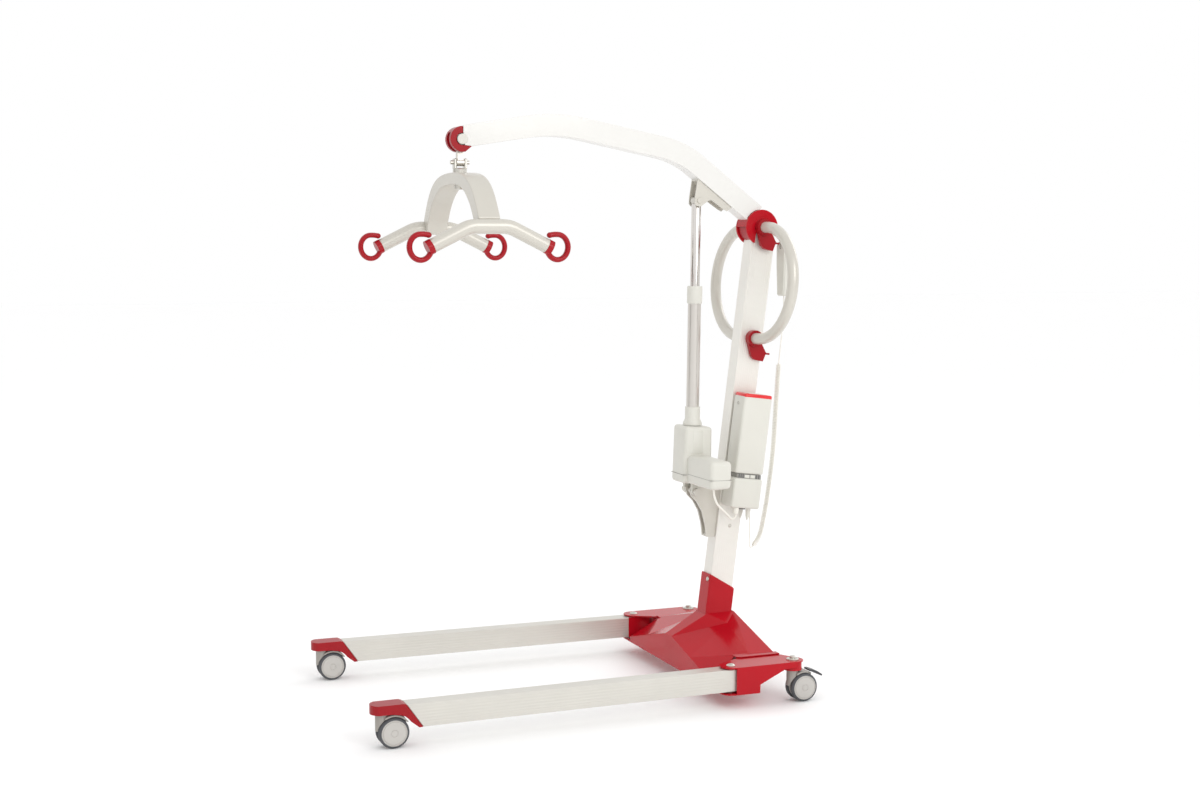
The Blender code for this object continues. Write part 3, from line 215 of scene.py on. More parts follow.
sky = bpy.data.worlds.new("studio")
sky.use_nodes = True
background = sky.node_tree.nodes["Background"]
background.inputs["Color"].default_value = (1.0, 1.0, 1.0, 1.0)
background.inputs["Strength"].default_value = 1.0
bpy.context.scene.world = sky
bpy.context.scene.view_settings.view_transform = "Standard"
lamp("key", size=3.0, power=70.0, where=(4.8, 1.4, 3.2), aim=OBJECT_MIDDLE)
lamp("rear", size=2.5, power=30.0, where=(-1.5, 4.5, 3.2), aim=OBJECT_MIDDLE)

floor_mesh = bpy.data.meshes.new("floor")
floor_corners = [(x * FLOOR_REACH, y * FLOOR_REACH, 0) for x, y in ((-1, -1), (1, -1), (1, 1), (-1, 1))]
floor_mesh.from_pydata(floor_corners, [], [(0, 1, 2, 3)])
floor = bpy.data.objects.new("floor", floor_mesh)
floor_mesh.materials.append(finish("floor_paint", (1.0, 1.0, 1.0), 0.85, mottle=0.0, relief=0.0))
bpy.context.scene.collection.objects.link(floor)

dark_cloth = finish("dark_cloth", (0.10, 0.08, 0.065), 0.9, mottle=0.02)
for name, (x, y), reach in (("flag_right", (3.1, 2.5), 0.35), ("flag_left", (-0.4, -4.2), 0.8)):
    away = Vector((x, y, 0)).normalized()
    along = Vector((-away.y, away.x, 0)) * reach
    foot = Vector((x, y, CLOTH_FOOT))
    rise = Vector((0, 0, CLOTH_RISE))
    flag_corners = [foot - along, foot + along, foot + along + rise, foot - along + rise]
    flag_mesh = bpy.data.meshes.new(name)
    flag_mesh.from_pydata(flag_corners, [], [(0, 1, 2, 3)])
    flag_mesh.materials.append(dark_cloth)
    flag = bpy.data.objects.new(name, flag_mesh)
    bpy.context.scene.collection.objects.link(flag)


# Shapes: every piece is drawn in millimetres. It is a wire along a route, an outline drawn out along an
# axis, or a profile turned about one. Each piece then rides on its body in place of its CAD nodes.

ROUTE_STEPS = 24
SHARP_FROM = 40


def dress(node, skin):
    """Gives a CAD node its finish."""
    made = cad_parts[node]
    for i in range(len(made.data.materials)):
        made.data.materials[i] = skin


def fit(made, body, slot, *nodes):
    """Puts a piece on its body, in place of the CAD nodes that it stands for."""
    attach(made, body)
    if nodes:
        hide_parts(*nodes)
    return made


def smooth_route(points, count):
    """Evenly spaced points on a Catmull-Rom curve through the given ones."""
    knots = [Vector(p) for p in points]
    ends = [knots[0] * 2 - knots[1]] + knots + [knots[-1] * 2 - knots[-2]]
    fine = []
    for i in range(1, len(ends) - 2):
        for step in range(ROUTE_STEPS):
            t = step / ROUTE_STEPS
            a, b, c, d = ends[i - 1 : i + 3]
            linear = (c - a) * t
            square = (2 * a - 5 * b + 4 * c - d) * t * t
            cube = (3 * b - a - 3 * c + d) * t * t * t
            fine.append(0.5 * (2 * b + linear + square + cube))
    fine.append(knots[-1])
    lengths = [0.0]
    for before, after in zip(fine, fine[1:]):
        lengths.append(lengths[-1] + (after - before).length)
    places = []
    at = 0
    for i in range(count):
        wanted = lengths[-1] * i / (count - 1)
        while at < len(fine) - 2 and lengths[at + 1] < wanted:
            at += 1
        span = lengths[at + 1] - lengths[at]
        places.append(fine[at].lerp(fine[at + 1], (wanted - lengths[at]) / span))
    return places


def route_length(points):
    return sum((b - a).length for a, b in zip(points, points[1:]))


def rod(name, points, radius, skin, resolution=6):
    """A round bar or wire along a route in millimetres."""
    curve = bpy.data.curves.new(name, "CURVE")
    curve.dimensions = "3D"
    curve.bevel_depth = radius / 1000
    curve.bevel_resolution = resolution
    curve.use_fill_caps = True
    spline = curve.splines.new("POLY")
    spline.points.add(len(points) - 1)
    for point, spot in zip(spline.points, points):
        point.co = (*place(*spot), 1.0)
    spline.use_smooth = True
    curve.materials.append(skin)
    made = bpy.data.objects.new(name, curve)
    bpy.context.scene.collection.objects.link(made)
    return made


def shade_round(made):
    made.data.shade_smooth()
    made.data.set_sharp_from_angle(angle=math.radians(SHARP_FROM))
    return made


def solid(name, grown, skin, bevel=0.0, segments=3, angle=30, turn=UPRIGHT):
    """A mesh object from points in millimetres, with its edges rounded."""
    bmesh.ops.recalc_face_normals(grown, faces=grown.faces)
    mesh = bpy.data.meshes.new(name)
    grown.to_mesh(mesh)
    grown.free()
    mesh.transform(turn)
    made = bpy.data.objects.new(name, mesh)
    mesh.materials.append(skin)
    bpy.context.scene.collection.objects.link(made)
    if bevel:
        edge = made.modifiers.new("edges", "BEVEL")
        edge.width = bevel / 1000
        edge.segments = segments
        edge.limit_method = "ANGLE"
        edge.angle_limit = math.radians(angle)
        edge.harden_normals = True
    return shade_round(made)


def plate(name, outline, low, high, axis, skin, bevel=0.0, segments=3, angle=30, turn=UPRIGHT):
    """An outline drawn out along an axis: (Y, Z) for X, (X, Z) for Y and (X, Y) for Z."""
    order = {
        "X": lambda a, b, h: (h, a, b),
        "Y": lambda a, b, h: (a, h, b),
        "Z": lambda a, b, h: (a, b, h),
    }[axis]
    grown = bmesh.new()
    lower = [grown.verts.new(order(a, b, low)) for a, b in outline]
    upper = [grown.verts.new(order(a, b, high)) for a, b in outline]
    grown.faces.new(lower)
    grown.faces.new(upper)
    for i in range(len(outline)):
        j = (i + 1) % len(outline)
        grown.faces.new((lower[i], lower[j], upper[j], upper[i]))
    return solid(name, grown, skin, bevel, segments, angle, turn)


def block(name, low, high, skin, bevel, segments=4, turn=UPRIGHT):
    outline = [(low[0], low[1]), (high[0], low[1]), (high[0], high[1]), (low[0], high[1])]
    return plate(name, outline, low[2], high[2], "Z", skin, bevel, segments, 30, turn)


def lathed(name, profile, centre, axis, skin, sides=64, turn=UPRIGHT):
    """A profile of (radius, height) turned about an axis through a place."""
    grown = bmesh.new()
    rings = []
    for radius, height in profile:
        if radius == 0:
            rings.append([grown.verts.new((0, 0, height))])
            continue
        angles = [math.tau * i / sides for i in range(sides)]
        spots = [(radius * math.cos(a), radius * math.sin(a), height) for a in angles]
        rings.append([grown.verts.new(spot) for spot in spots])
    for one, two in zip(rings, rings[1:]):
        for i in range(sides):
            corners = [one[i % len(one)], one[(i + 1) % len(one)]]
            corners += [two[(i + 1) % len(two)], two[i % len(two)]]
            corners = list(dict.fromkeys(corners))
            if len(corners) > 2:
                grown.faces.new(corners)
    about = {
        "X": Matrix.Rotation(math.pi / 2, 4, "Y"),
        "Y": Matrix.Rotation(-math.pi / 2, 4, "X"),
        "Z": Matrix.Identity(4),
    }[axis]
    bmesh.ops.transform(grown, matrix=Matrix.Translation(centre) @ about, verts=grown.verts)
    return solid(name, grown, skin, turn=turn)


def joined(name, pieces):
    """One piece from several meshes, each with its own finish kept."""
    graph = bpy.context.evaluated_depsgraph_get()
    grown = bmesh.new()
    skins = []
    for piece in pieces:
        shown = piece.evaluated_get(graph)
        mesh = bpy.data.meshes.new_from_object(shown)
        mesh.transform(piece.matrix_world)
        offset = {}
        for i, skin in enumerate(mesh.materials):
            if skin not in skins:
                skins.append(skin)
            offset[i] = skins.index(skin)
        for face in mesh.polygons:
            face.material_index = offset.get(face.material_index, 0)
        grown.from_mesh(mesh)
    for piece in pieces:
        bpy.data.objects.remove(piece)
    mesh = bpy.data.meshes.new(name)
    grown.to_mesh(mesh)
    grown.free()
    for skin in skins:
        mesh.materials.append(skin)
    made = bpy.data.objects.new(name, mesh)
    bpy.context.scene.collection.objects.link(made)
    return shade_round(made)


def arc(centre, radius, start, end, steps):
    turns = [math.radians(start + (end - start) * i / steps) for i in range(steps + 1)]
    return [(centre[0] + radius * math.cos(t), centre[1] + radius * math.sin(t)) for t in turns]


def fair(points, count):
    return [(p.x, p.y) for p in smooth_route([(*p, 0) for p in points], count)]


# Spiral cord of the hand control: a thin round lead, straight at both ends and wound into a long
# spring between them. It leaves the control box by a gland, hangs in a loop and ends in the hand control.

WIRE_DIAMETER = 2.9
COIL_WIRE_RADIUS = 5.5
COIL_PITCH = 4.2
COIL_STEPS = 12
SWELL_STEPS = 10


def wound(spine):
    """A spring of wire about a spine. It grows out of the straight wire at both ends."""
    total = route_length(spine)
    turns = round(total / COIL_PITCH)
    centre = smooth_route(spine, turns * COIL_STEPS + 1)
    points = []
    side = Vector((1, 0, 0))
    for i, spot in enumerate(centre):
        ahead = (centre[min(i + 1, len(centre) - 1)] - centre[max(i - 1, 0)]).normalized()
        side = (side - ahead * side.dot(ahead)).normalized()
        other = ahead.cross(side)
        turn = math.tau * i / COIL_STEPS
        swell = min(1.0, i / SWELL_STEPS, (len(centre) - 1 - i) / SWELL_STEPS)
        reach = COIL_WIRE_RADIUS * swell
        points.append(spot + side * reach * math.cos(turn) + other * reach * math.sin(turn))
    return points


cable_sheath = finish("cable_sheath", (0.84, 0.82, 0.75), 0.48, mottle=0.03)
coil_start = Vector((52, 272, 861))
coil_end = Vector((58, 195, 362.5))
upper_knots = [(45, 289, 1044.7), (45, 289, 1010), (47, 284, 950), (50, 276, 890)]
upper_wire = smooth_route([*upper_knots, coil_start], 22)
coil_knots = [(54, 263, 740), (55, 255, 620), (57, 240, 510), (58, 229, 450)]
coil_knots += [(58, 218, 400), (58, 208, 378)]
coil_spine = smooth_route([coil_start, *coil_knots, coil_end], 60)
lower_knots = [coil_end, (58.3, 190.0, 359.0), (58.6, 185.5, 360.5), (59, 183.5, 368), (60, 183.5, 400)]
gland_foot = Vector(on_mast(60, 40.3, 477.4))
lower_wire = smooth_route([*lower_knots, gland_foot + Vector((0, -1, -20)), gland_foot], 40)
cord_points = upper_wire[:-1] + wound(coil_spine) + lower_wire[1:]
cord = rod("hand_control_cord", cord_points, WIRE_DIAMETER / 2, cable_sheath, 2)
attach(cord, "base")
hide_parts("cord_upper", "cord_coil", "cord_lower")
tuple(place(*gland_foot))
route_length(cord_points) / 1000


# Base: a folded and welded steel plate with two wings, under a pressed steel cover that climbs to the
# mast's socket. All of it is sprayed in a deep glossy red, with a thin clear coat.

red_paint = finish(
    "red_paint", (0.44, 0.004, 0.012), 0.2, coat=0.12, mottle=0.05, grain=260.0, relief=0.03, shine=0.16
)


dress("base_frame", red_paint)
dress("base_cover", red_paint)


# Leg bolts: domed zinc plated heads that each leg swings about, over the red wings.

zinc = finish("zinc_plate", (0.60, 0.58, 0.53), 0.3, metallic=1.0, mottle=0.08, grain=500.0)
SIDES = ((1, "left"), (-1, "right"))
LEG_BOLT_X = 324.4
WING_TOP = 110.3

for side, word in SIDES:
    lip = [(236, 46), (262, 46), (268, 56), (268, 170), (246, 170), (240, 92)]
    lip = [(side * a, b) for a, b in lip]
    flange = plate("cover_flange_" + word, lip, WING_TOP, WING_TOP + 3.3, "Z", red_paint, 1.0, 2)
    fit(flange, "base", "red_paint")
    dome = [(0, 115.4), (3, 115.2), (6, 114.4), (8.5, 113.2), (10.6, 111.6), (11.4, 110.9)]
    dome += [(11.5, WING_TOP)]
    shank = [(8, WING_TOP), (8, 37.7), (10, 37.7), (10, 33), (9, 32), (0, 32)]
    head = lathed("leg_bolt_head_" + word, dome + shank, (side * LEG_BOLT_X, 0, 0), "Z", zinc, 48)
    fit(head, "base", "zinc_steel", "leg_bolt_" + word)


# Legs: aluminium box profiles drawn with fine grooves along their sides, each with a cast red end over
# its front castor, a red shoe on its rear end and a red lever inside the base.

LEG_TOE = 0.66
LEG_GROOVE = 0.0075
GROOVE_STRENGTH = 0.35
GROOVE_DEPTH = 0.0006

leg_aluminium = finish("leg_aluminium", (0.66, 0.64, 0.59), 0.4, metallic=0.6, mottle=0.03, grain=300.0)
upward = coordinates(leg_aluminium)[2]
add_relief(leg_aluminium, upward.wave(LEG_GROOVE), GROOVE_STRENGTH, GROOVE_DEPTH)
red_casting = finish(
    "red_casting", (0.33, 0.006, 0.012), 0.34, coat=0.1, mottle=0.07, grain=500.0, relief=0.06, shine=0.2
)


def leg_turn(side):
    """From millimetres beside the bolt to the leg, which stands toed out a little about it."""
    bolt_x = side * LEG_BOLT_X
    toe = Matrix.Rotation(math.radians(side * LEG_TOE), 4, "Z")
    from_bolt = Matrix.Translation(-Vector((bolt_x, 0, 0)) / 1000)
    return Matrix.Translation(place(bolt_x, 0, 0)) @ toe @ from_bolt @ Matrix.Scale(0.001, 4)


for side, word in SIDES:
    dress("leg_" + word, leg_aluminium)
    dress("leg_end_" + word, red_casting)
    dress("leg_lever_" + word, red_casting)
    shoe = [(23.4, -24), (22.1, -24), (22.1, 40.2), (-22, 40.2), (-22, 41.4), (23.4, 41.4)]
    shoe = [(side * (LEG_BOLT_X - a), b) for a, b in shoe]
    casing = plate("leg_shoe_" + word, shoe, 46.2, 104.4, "Z", red_paint, 0.4, 2, 30, leg_turn(side))
    fit(casing, "leg_" + word, "red_paint")

dress("spread_crosshead", zinc)


# Castors: twin wheels of grey plastic with soft dark grey treads, on a moulded housing with a hood.
# The rear pair has a dark foot pedal that presses on the treads.

REAR_CASTOR_X = 326.8
REAR_CASTOR_Y = 177.2

housing_plastic = finish("castor_plastic", (0.34, 0.32, 0.29), 0.42, mottle=0.05, grain=700.0, relief=0.08)
hood_plastic = finish("hood_plastic", (0.05, 0.05, 0.055), 0.38, mottle=0.1, grain=700.0, relief=0.08)
tread_rubber = finish("tread_rubber", (0.075, 0.078, 0.085), 0.62, mottle=0.12, grain=600.0, relief=0.12)
disc_plastic = finish("disc_plastic", (0.52, 0.50, 0.47), 0.35, mottle=0.05, grain=700.0, relief=0.05)


def castor_wheels(word, body):
    low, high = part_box("castor_%s_wheels" % word)
    middle = [(a + b) / 2 * 1000 for a, b in zip(low, high)]
    centre = (middle[0], middle[1] - ORIGIN_Y, middle[2])
    pieces = []
    for side in (1, -1):
        tread = [(31.5, 22.2), (32.5, 21.9), (35.4, 20.3), (37.0, 17.6), (37.5, 15.0), (37.5, 13.0)]
        tread += [(36.6, 10.2), (34.0, 8.7), (31.5, 8.7)]
        disc = [(31.4, 21.6), (29.6, 21.9), (28.8, 20.8), (27.8, 20.8), (26.6, 22.4), (20, 23.0), (9, 23.0)]
        disc += [(8.2, 21.9), (7.4, 21.9), (6.8, 22.7), (0, 22.9)]
        inside = [(31.4, 8.9), (4.2, 8.9)]
        for profile, skin in ((tread, tread_rubber), (disc, disc_plastic), (inside, disc_plastic)):
            shape = [(r, side * h) for r, h in profile]
            pieces.append(lathed("ring", shape, centre, "X", skin, 56))
    axle = [(0, 15), (3.9, 15), (3.9, -15), (0, -15)]
    pieces.append(lathed("axle", axle, centre, "X", zinc, 24))
    fit(joined("castor_wheels_" + word, pieces), body, "tyre_grey", "castor_%s_wheels" % word)


for side, word in SIDES:
    for end in ("front", "rear"):
        castor_wheels(end + "_" + word, "wheels_%s_%s" % (end, word))
        dress("castor_%s_%s_housing" % (end, word), housing_plastic)
    dress("brake_pedal_rear_" + word, hood_plastic)
    washer = [(0, 119.5), (6.5, 119.4), (7.6, 118.6), (7.6, 113.4), (15.5, 113.2)]
    washer += [(16.5, 112.4), (16.5, 109.8)]
    nut = lathed("castor_nut_" + word, washer, (side * REAR_CASTOR_X, REAR_CASTOR_Y, 0), "Z", zinc, 32)
    fit(nut, "base", "zinc_steel")


# Mast: an anodised aluminium profile with fine grooves along it, which leans to the rear in its socket.
# A moulded red filler closes its round head, and a steel pin through it carries the boom.

MAST_GROOVE = 0.0062

mast_aluminium = finish("mast_aluminium", (0.80, 0.78, 0.73), 0.38, metallic=0.45, mottle=0.03, grain=300.0)
rearward, upward = coordinates(mast_aluminium)[1:]
across = rearward * math.cos(LEAN) - upward * math.sin(LEAN)
add_relief(mast_aluminium, across.wave(MAST_GROOVE), GROOVE_STRENGTH, GROOVE_DEPTH)
dress("mast", mast_aluminium)
dress("mast_cap", red_casting)
dress("boom_pin", zinc)

for s, radius in ((206, 5.5), (420, 5.0)):
    button = [(0, 2.4), (radius * 0.6, 2.1), (radius, 0.4), (radius, -1.0)]
    stud = lathed("mast_stud_%d" % s, button, (24.5, 4, s), "X", zinc, 24, MAST_TURN)
    fit(stud, "base", "zinc_steel")
screw_head = [(0, -3.0), (4.4, -2.8), (6.0, -1.4), (6.4, 0), (6.4, 1)]
screw = lathed("socket_screw", screw_head, (16, -39.2, 268), "Y", zinc, 24, MAST_TURN)
fit(screw, "base", "zinc_steel")


# Push handles: two steel tubes bowed into a ring about the mast and painted a satin silver grey, held
# by red moulded clamps above and below.

silver_paint = finish("silver_paint", (0.60, 0.575, 0.515), 0.34, metallic=0.25, coat=0.2, mottle=0.02)
HANDLE_BOW = 171.0
HANDLE_START_X = 62.0
PIVOT_T, PIVOT_S = -11.4, 1239.3
LOW_T, LOW_S = 3.5, 938.0
HANDLE_RADIUS = 15.0
HANDLE_STEPS = 48

for side, word in SIDES:
    middle = (PIVOT_S + LOW_S) / 2
    rise = (PIVOT_S - LOW_S) / 2
    route = [on_mast(side * 52.4, PIVOT_T, PIVOT_S)]
    for i in range(HANDLE_STEPS + 1):
        turn = math.radians(90 - 180 * i / HANDLE_STEPS)
        lean_in = PIVOT_T + (LOW_T - PIVOT_T) * (1 - math.sin(turn)) / 2
        x = HANDLE_START_X + HANDLE_BOW * math.cos(turn)
        route.append(on_mast(side * x, lean_in, middle + rise * math.sin(turn)))
    route.append(on_mast(side * 45.4, LOW_T, LOW_S))
    bow = rod("push_handle_" + word, route, HANDLE_RADIUS, silver_paint, 8)
    fit(bow, "base", "silver_paint", "handle_" + word)
    dress("handle_clamp_upper_" + word, red_casting)
    dress("handle_clamp_lower_" + word, red_casting)


# Boom: a bent rectangular tube sprayed off white. A red drum hinges it on the mast's head, a red
# moulded nose closes its tip, and a folded bracket under it takes the drive's rod.

white_paint = finish(
    "white_paint", (0.76, 0.75, 0.72), 0.3, coat=0.3, mottle=0.015, grain=240.0, relief=0.04
)
BOOM_PIVOT = (228.0, 1231.0)
TIP_PIN = (-615.2, 1450.0)
BOOM_CORNERS = [(-592.0, 1460.3), (-363.0, 1498.2), (-5.2, 1430.2), (214.0, 1264.6)]
BOOM_BENDS = (450.0, 258.0)
BOOM_HALF = 28.0
BEND_STEPS = 14
DRUM_REACH = 48.5


def boom_edges(half):
    """The beam's top and bottom edges, from its tip to its hinge."""
    corners = [Vector(p) for p in BOOM_CORNERS]
    ahead = (corners[1] - corners[0]).normalized()
    line = [(corners[0], ahead)]
    for corner, after, radius in zip(corners[1:], corners[2:], BOOM_BENDS):
        leaving = (after - corner).normalized()
        bend = ahead.angle(leaving)
        start = corner - ahead * radius * math.tan(bend / 2)
        centre = start + Vector((ahead.y, -ahead.x)) * radius
        for i in range(BEND_STEPS + 1):
            spoke = start - centre
            spoke.rotate(Matrix.Rotation(-bend * i / BEND_STEPS, 2))
            heading = ahead.copy()
            heading.rotate(Matrix.Rotation(-bend * i / BEND_STEPS, 2))
            line.append((centre + spoke, heading))
        ahead = leaving
    line.append((corners[-1], ahead))
    lift = [Vector((-heading.y, heading.x)) * half for _, heading in line]
    top = [point + side for (point, _), side in zip(line, lift)]
    under = [point - side for (point, _), side in zip(line, lift)]
    return top, under


def onto_drum(edge):
    """The beam's edge, cut where it meets the drum."""
    kept = [p for p in edge if (p - Vector(BOOM_PIVOT)).length > DRUM_REACH]
    inner = edge[len(kept) - 1]
    outer = edge[min(len(kept), len(edge) - 1)]
    for i in range(200):
        spot = inner.lerp(outer, i / 199)
        if (spot - Vector(BOOM_PIVOT)).length <= DRUM_REACH:
            return [*kept, spot]
    return kept


def drum_turn(spot):
    """A place's angle about the boom's pivot, in degrees."""
    return math.degrees(math.atan2(spot.y - BOOM_PIVOT[1], spot.x - BOOM_PIVOT[0])) % 360


top_edge, under_edge = [onto_drum(edge) for edge in boom_edges(BOOM_HALF)]
drum_arc = arc(BOOM_PIVOT, DRUM_REACH, drum_turn(under_edge[-1]), drum_turn(top_edge[-1]), 10)
y, z = TIP_PIN
nose = [(y + 3.0, z + 33.5), (y + 2.6, z + 15.0), (y + 20, z + 15), (y + 22, z - 15), (y + 6.0, z - 15.0)]
outline = nose + [tuple(p) for p in under_edge] + drum_arc[1:-1]
outline += [tuple(p) for p in reversed(top_edge)]
beam = plate("boom_beam", outline, -25, 25, "X", white_paint, 6.0, 4, 40)
fit(beam, "boom", "white_paint", "boom")
cheeks = []
for side in (1, -1):
    low, high = sorted((side * 21, side * 24.8))
    cheek = [(y + 2.8, z + 15.4), (y + 24, z + 15.4), (y + 24, z - 15.4), (y + 7, z - 15.4)]
    cheeks.append(plate("cheek", cheek, low, high, "X", white_paint, 0.3, 1))
fit(joined("boom_tip_cheeks", cheeks), "boom", "white_paint")
dress("boom_tip", red_casting)
dress("boom_hinge", red_paint)
dress("boom_bracket", silver_paint)
white_plastic = finish("white_plastic", (0.68, 0.67, 0.61), 0.42, mottle=0.02, grain=900.0, relief=0.08)
dress("tip_pin", white_plastic)


# Sling bar: a bright steel yoke and swivel carry a welded arch of flat oval tube, with a bent round
# crossbar at each foot. A red moulded hook caps each end of the crossbars.

dress("hanger_yoke", zinc)
dress("swivel_link", zinc)
BAR_Y = TIP_PIN[0]
ARCH_TOP = 1366.0
BAR_X = 248.0
BAR_Z = 1228.0
HOOK_Z = 1178.5
SEAT_RADIUS = 17.4
SEAT_TRIM = 17.2
outer = [(262, 1222), (250, 1242), (231, 1271), (206, 1303), (175, 1330), (140, 1348), (100, 1359)]
outer += [(50, 1364.6), (0, ARCH_TOP), (-50, 1364.6)]
inner = [(-60, 1334.6), (0, 1336.0), (60, 1333.6), (98, 1325), (134, 1309), (170, 1283)]
inner += [(198, 1250), (219, 1212)]


def clear_of_bar(points):
    """The right half of an edge, up to where it meets the crossbar."""
    return [p for p in points if p[0] >= 0 and math.dist(p, (BAR_X, BAR_Z)) > SEAT_TRIM]


over = clear_of_bar(fair(outer, 60))
below = clear_of_bar(fair(inner, 60))
turn_in = [math.degrees(math.atan2(p[1] - BAR_Z, p[0] - BAR_X)) % 360 for p in (over[0], below[-1])]
seat = arc((BAR_X, BAR_Z), SEAT_RADIUS, turn_in[1], turn_in[0], 8)
right = [(0, 1336.0), *below, *seat, *over]
outline = right + [(-px, pz) for px, pz in reversed(right[1:]) if px > 0.5]
arch = plate("sling_bar_arch", outline, BAR_Y - 28, BAR_Y + 28, "Y", silver_paint, 9.0, 5, 40)
fit(arch, "sling_bar", "silver_paint", "sling_arch")

BAR_FLAT = 50.0
BAR_BEND = 75.0
BAR_RADIUS = 18.0
HOOK_WIDE, HOOK_HIGH = 27.3, 30.8
HOOK_FROM, HOOK_TO, HOOK_STEPS = 208, 450, 32
BAR_SLOPE = math.atan2(BAR_Z - HOOK_Z, 150.0 - BAR_FLAT)
hook_red = finish(
    "hook_red", (0.37, 0.005, 0.012), 0.28, coat=0.15, mottle=0.06, grain=500.0, relief=0.05, shine=0.2
)
half_bar = []
start = BAR_FLAT - BAR_BEND * math.tan(BAR_SLOPE / 2)
for i in range(11):
    turn = BAR_SLOPE * i / 10
    half_bar.append((start + BAR_BEND * math.sin(turn), BAR_Z - BAR_BEND * (1 - math.cos(turn))))
half_bar.append((150.0, HOOK_Z))


def hook(side, end, word):
    """A cap on the crossbar's end, with a loop that leaves it below and comes round over it."""
    x = side * BAR_X
    y = BAR_Y + end * 173.0
    spine = []
    for i in range(HOOK_STEPS + 1):
        turn = math.radians(HOOK_FROM + (HOOK_TO - HOOK_FROM) * i / HOOK_STEPS)
        spine.append((x, y + end * HOOK_WIDE * math.cos(turn), HOOK_Z + HOOK_HIGH * math.sin(turn)))
    for reach, rise in ((8, HOOK_HIGH), (15, 30.0), (20, 29.0)):
        spine.append((x, y - end * reach, HOOK_Z + rise))
    loop = rod("loop", spine, 6.9, hook_red, 6)
    widen = Matrix.Translation(place(x, 0, 0)) @ Matrix.Scale(1.4, 4, (1, 0, 0))
    loop.matrix_world = widen @ Matrix.Translation(-place(x, 0, 0))
    ball = [(0, 9.4), (4, 8.2), (6.6, 4.4), (7.3, 0), (6.6, -4.4), (4, -8.2), (0, -9.4)]
    knob = lathed("knob", ball, spine[-1], "X", hook_red, 24)
    along = Vector((0, end * math.cos(BAR_SLOPE), -math.sin(BAR_SLOPE)))
    spot = Vector((x, BAR_Y + end * 150.0, HOOK_Z))
    cap_route = [spot + along * reach for reach in (-6, 0.3, 6.5, 8)]
    cap = rod("cap", cap_route, 18.9, hook_red, 8)
    bpy.context.view_layer.update()
    made = joined("hook_" + word, [loop, knob, cap])
    fit(made, "sling_bar", "red_paint", "sling_hook_" + word)


for side, word in SIDES:
    route = [(side * BAR_X, BAR_Y - p, q) for p, q in reversed(half_bar)]
    route += [(side * BAR_X, BAR_Y + p, q) for p, q in half_bar]
    bar = rod("sling_crossbar_" + word, route, BAR_RADIUS, silver_paint, 10)
    fit(bar, "sling_bar", "silver_paint", "crossbar_" + word)
    hook(side, 1, word + "_rear")
    hook(side, -1, word + "_front")


# Drive: a motor in a two part white plastic housing, which hangs on a curved bracket on the mast, with
# an aluminium tube and a chromed rod that pushes the boom up.

CYLINDER_PIVOT = (34.5, 517.0)
ROD_PIVOT = (46.0, 1302.0)
TILT = math.atan2(ROD_PIVOT[0] - CYLINDER_PIVOT[0], ROD_PIVOT[1] - CYLINDER_PIVOT[1])
DRIVE_TURN = (
    Matrix.Translation(place(0, *CYLINDER_PIVOT))
    @ Matrix.Rotation(-TILT, 4, "X")
    @ Matrix.Scale(0.001, 4)
)
tube_aluminium = finish("tube_aluminium", (0.64, 0.61, 0.57), 0.3, metallic=0.7, mottle=0.02, grain=300.0)
chrome = finish("chrome", (0.72, 0.69, 0.66), 0.1, metallic=1.0, mottle=0.03)
dress("drive_bracket", silver_paint)

tower = plate(
    "tower",
    [(-42, 24), (43, 24), (42, 176), (-38, 179)],
    -41, 41, "X", white_plastic, 9.0, 5, 30, DRIVE_TURN,
)
motor = plate(
    "motor",
    [(-31, 24), (31, 27), (31, 100), (-31, 102)],
    -36, 190, "X", white_plastic, 12.0, 6, 30, DRIVE_TURN,
)
panel = plate(
    "panel",
    [(-16, 104), (14, 104), (13, 168), (-15, 170)],
    36, 41.8, "X", white_plastic, 1.6, 3, 30, DRIVE_TURN,
)
lugs = []
for side in (1, -1):
    outline = [(-11, 30), *arc((0, 0), 11, 180, 360, 16), (11, 30)]
    low, high = sorted((side * 19, side * 30))
    lugs.append(plate("lug", outline, low, high, "X", white_plastic, 1.0, 2, 30, DRIVE_TURN))
fit(joined("drive_motor_housing", [tower, motor, panel, *lugs]), "drive", "white_plastic", "drive_housing")
seam_grey = finish("seam_grey", (0.30, 0.29, 0.27), 0.6)
seam = plate(
    "drive_seam",
    [(-42.3, 47.6), (43.1, 47.6), (43.1, 48.6), (-42.3, 48.6)],
    -41.3, 41.3, "X", seam_grey, 0.0, 1, 30, DRIVE_TURN,
)
seam_motor = plate(
    "seam_motor",
    [(-31.3, 50.5), (31.3, 50.5), (31.3, 51.4), (-31.3, 51.4)],
    41, 190.3, "X", seam_grey, 0.0, 1, 30, DRIVE_TURN,
)
fit(joined("drive_housing_seam", [seam, seam_motor]), "drive", "white_plastic")

sleeve = [(13.6, 555), (18.6, 555.0), (19.8, 553.4), (19.8, 511), (19.2, 509.4), (17.7, 509.0), (17.7, 230)]
rings = []
for i in range(6):
    ring_top = 548 - i * 6
    rings += [(19.8, ring_top), (19.3, ring_top - 0.7), (19.8, ring_top - 1.4)]
sleeve = sleeve[:3] + rings + sleeve[3:]
foot = [(17.7, 230), (20.5, 229), (20.5, 197), (21.2, 195.6), (25.2, 186.5), (25.7, 184)]
foot += [(25.7, 179.3), (0, 179.3)]
tube = lathed("tube", sleeve, (0, 0, 0), "Z", tube_aluminium, 64, DRIVE_TURN)
collar = lathed("collar", foot, (0, 0, 0), "Z", white_plastic, 64, DRIVE_TURN)
bush_profile = [(13.5, 556.2), (20.1, 556.0), (20.6, 554.0), (20.6, 511.0), (19.9, 509.0), (17.8, 508.6)]
bush = lathed("bush", bush_profile, (0, 0, 0), "Z", white_plastic, 64, DRIVE_TURN)
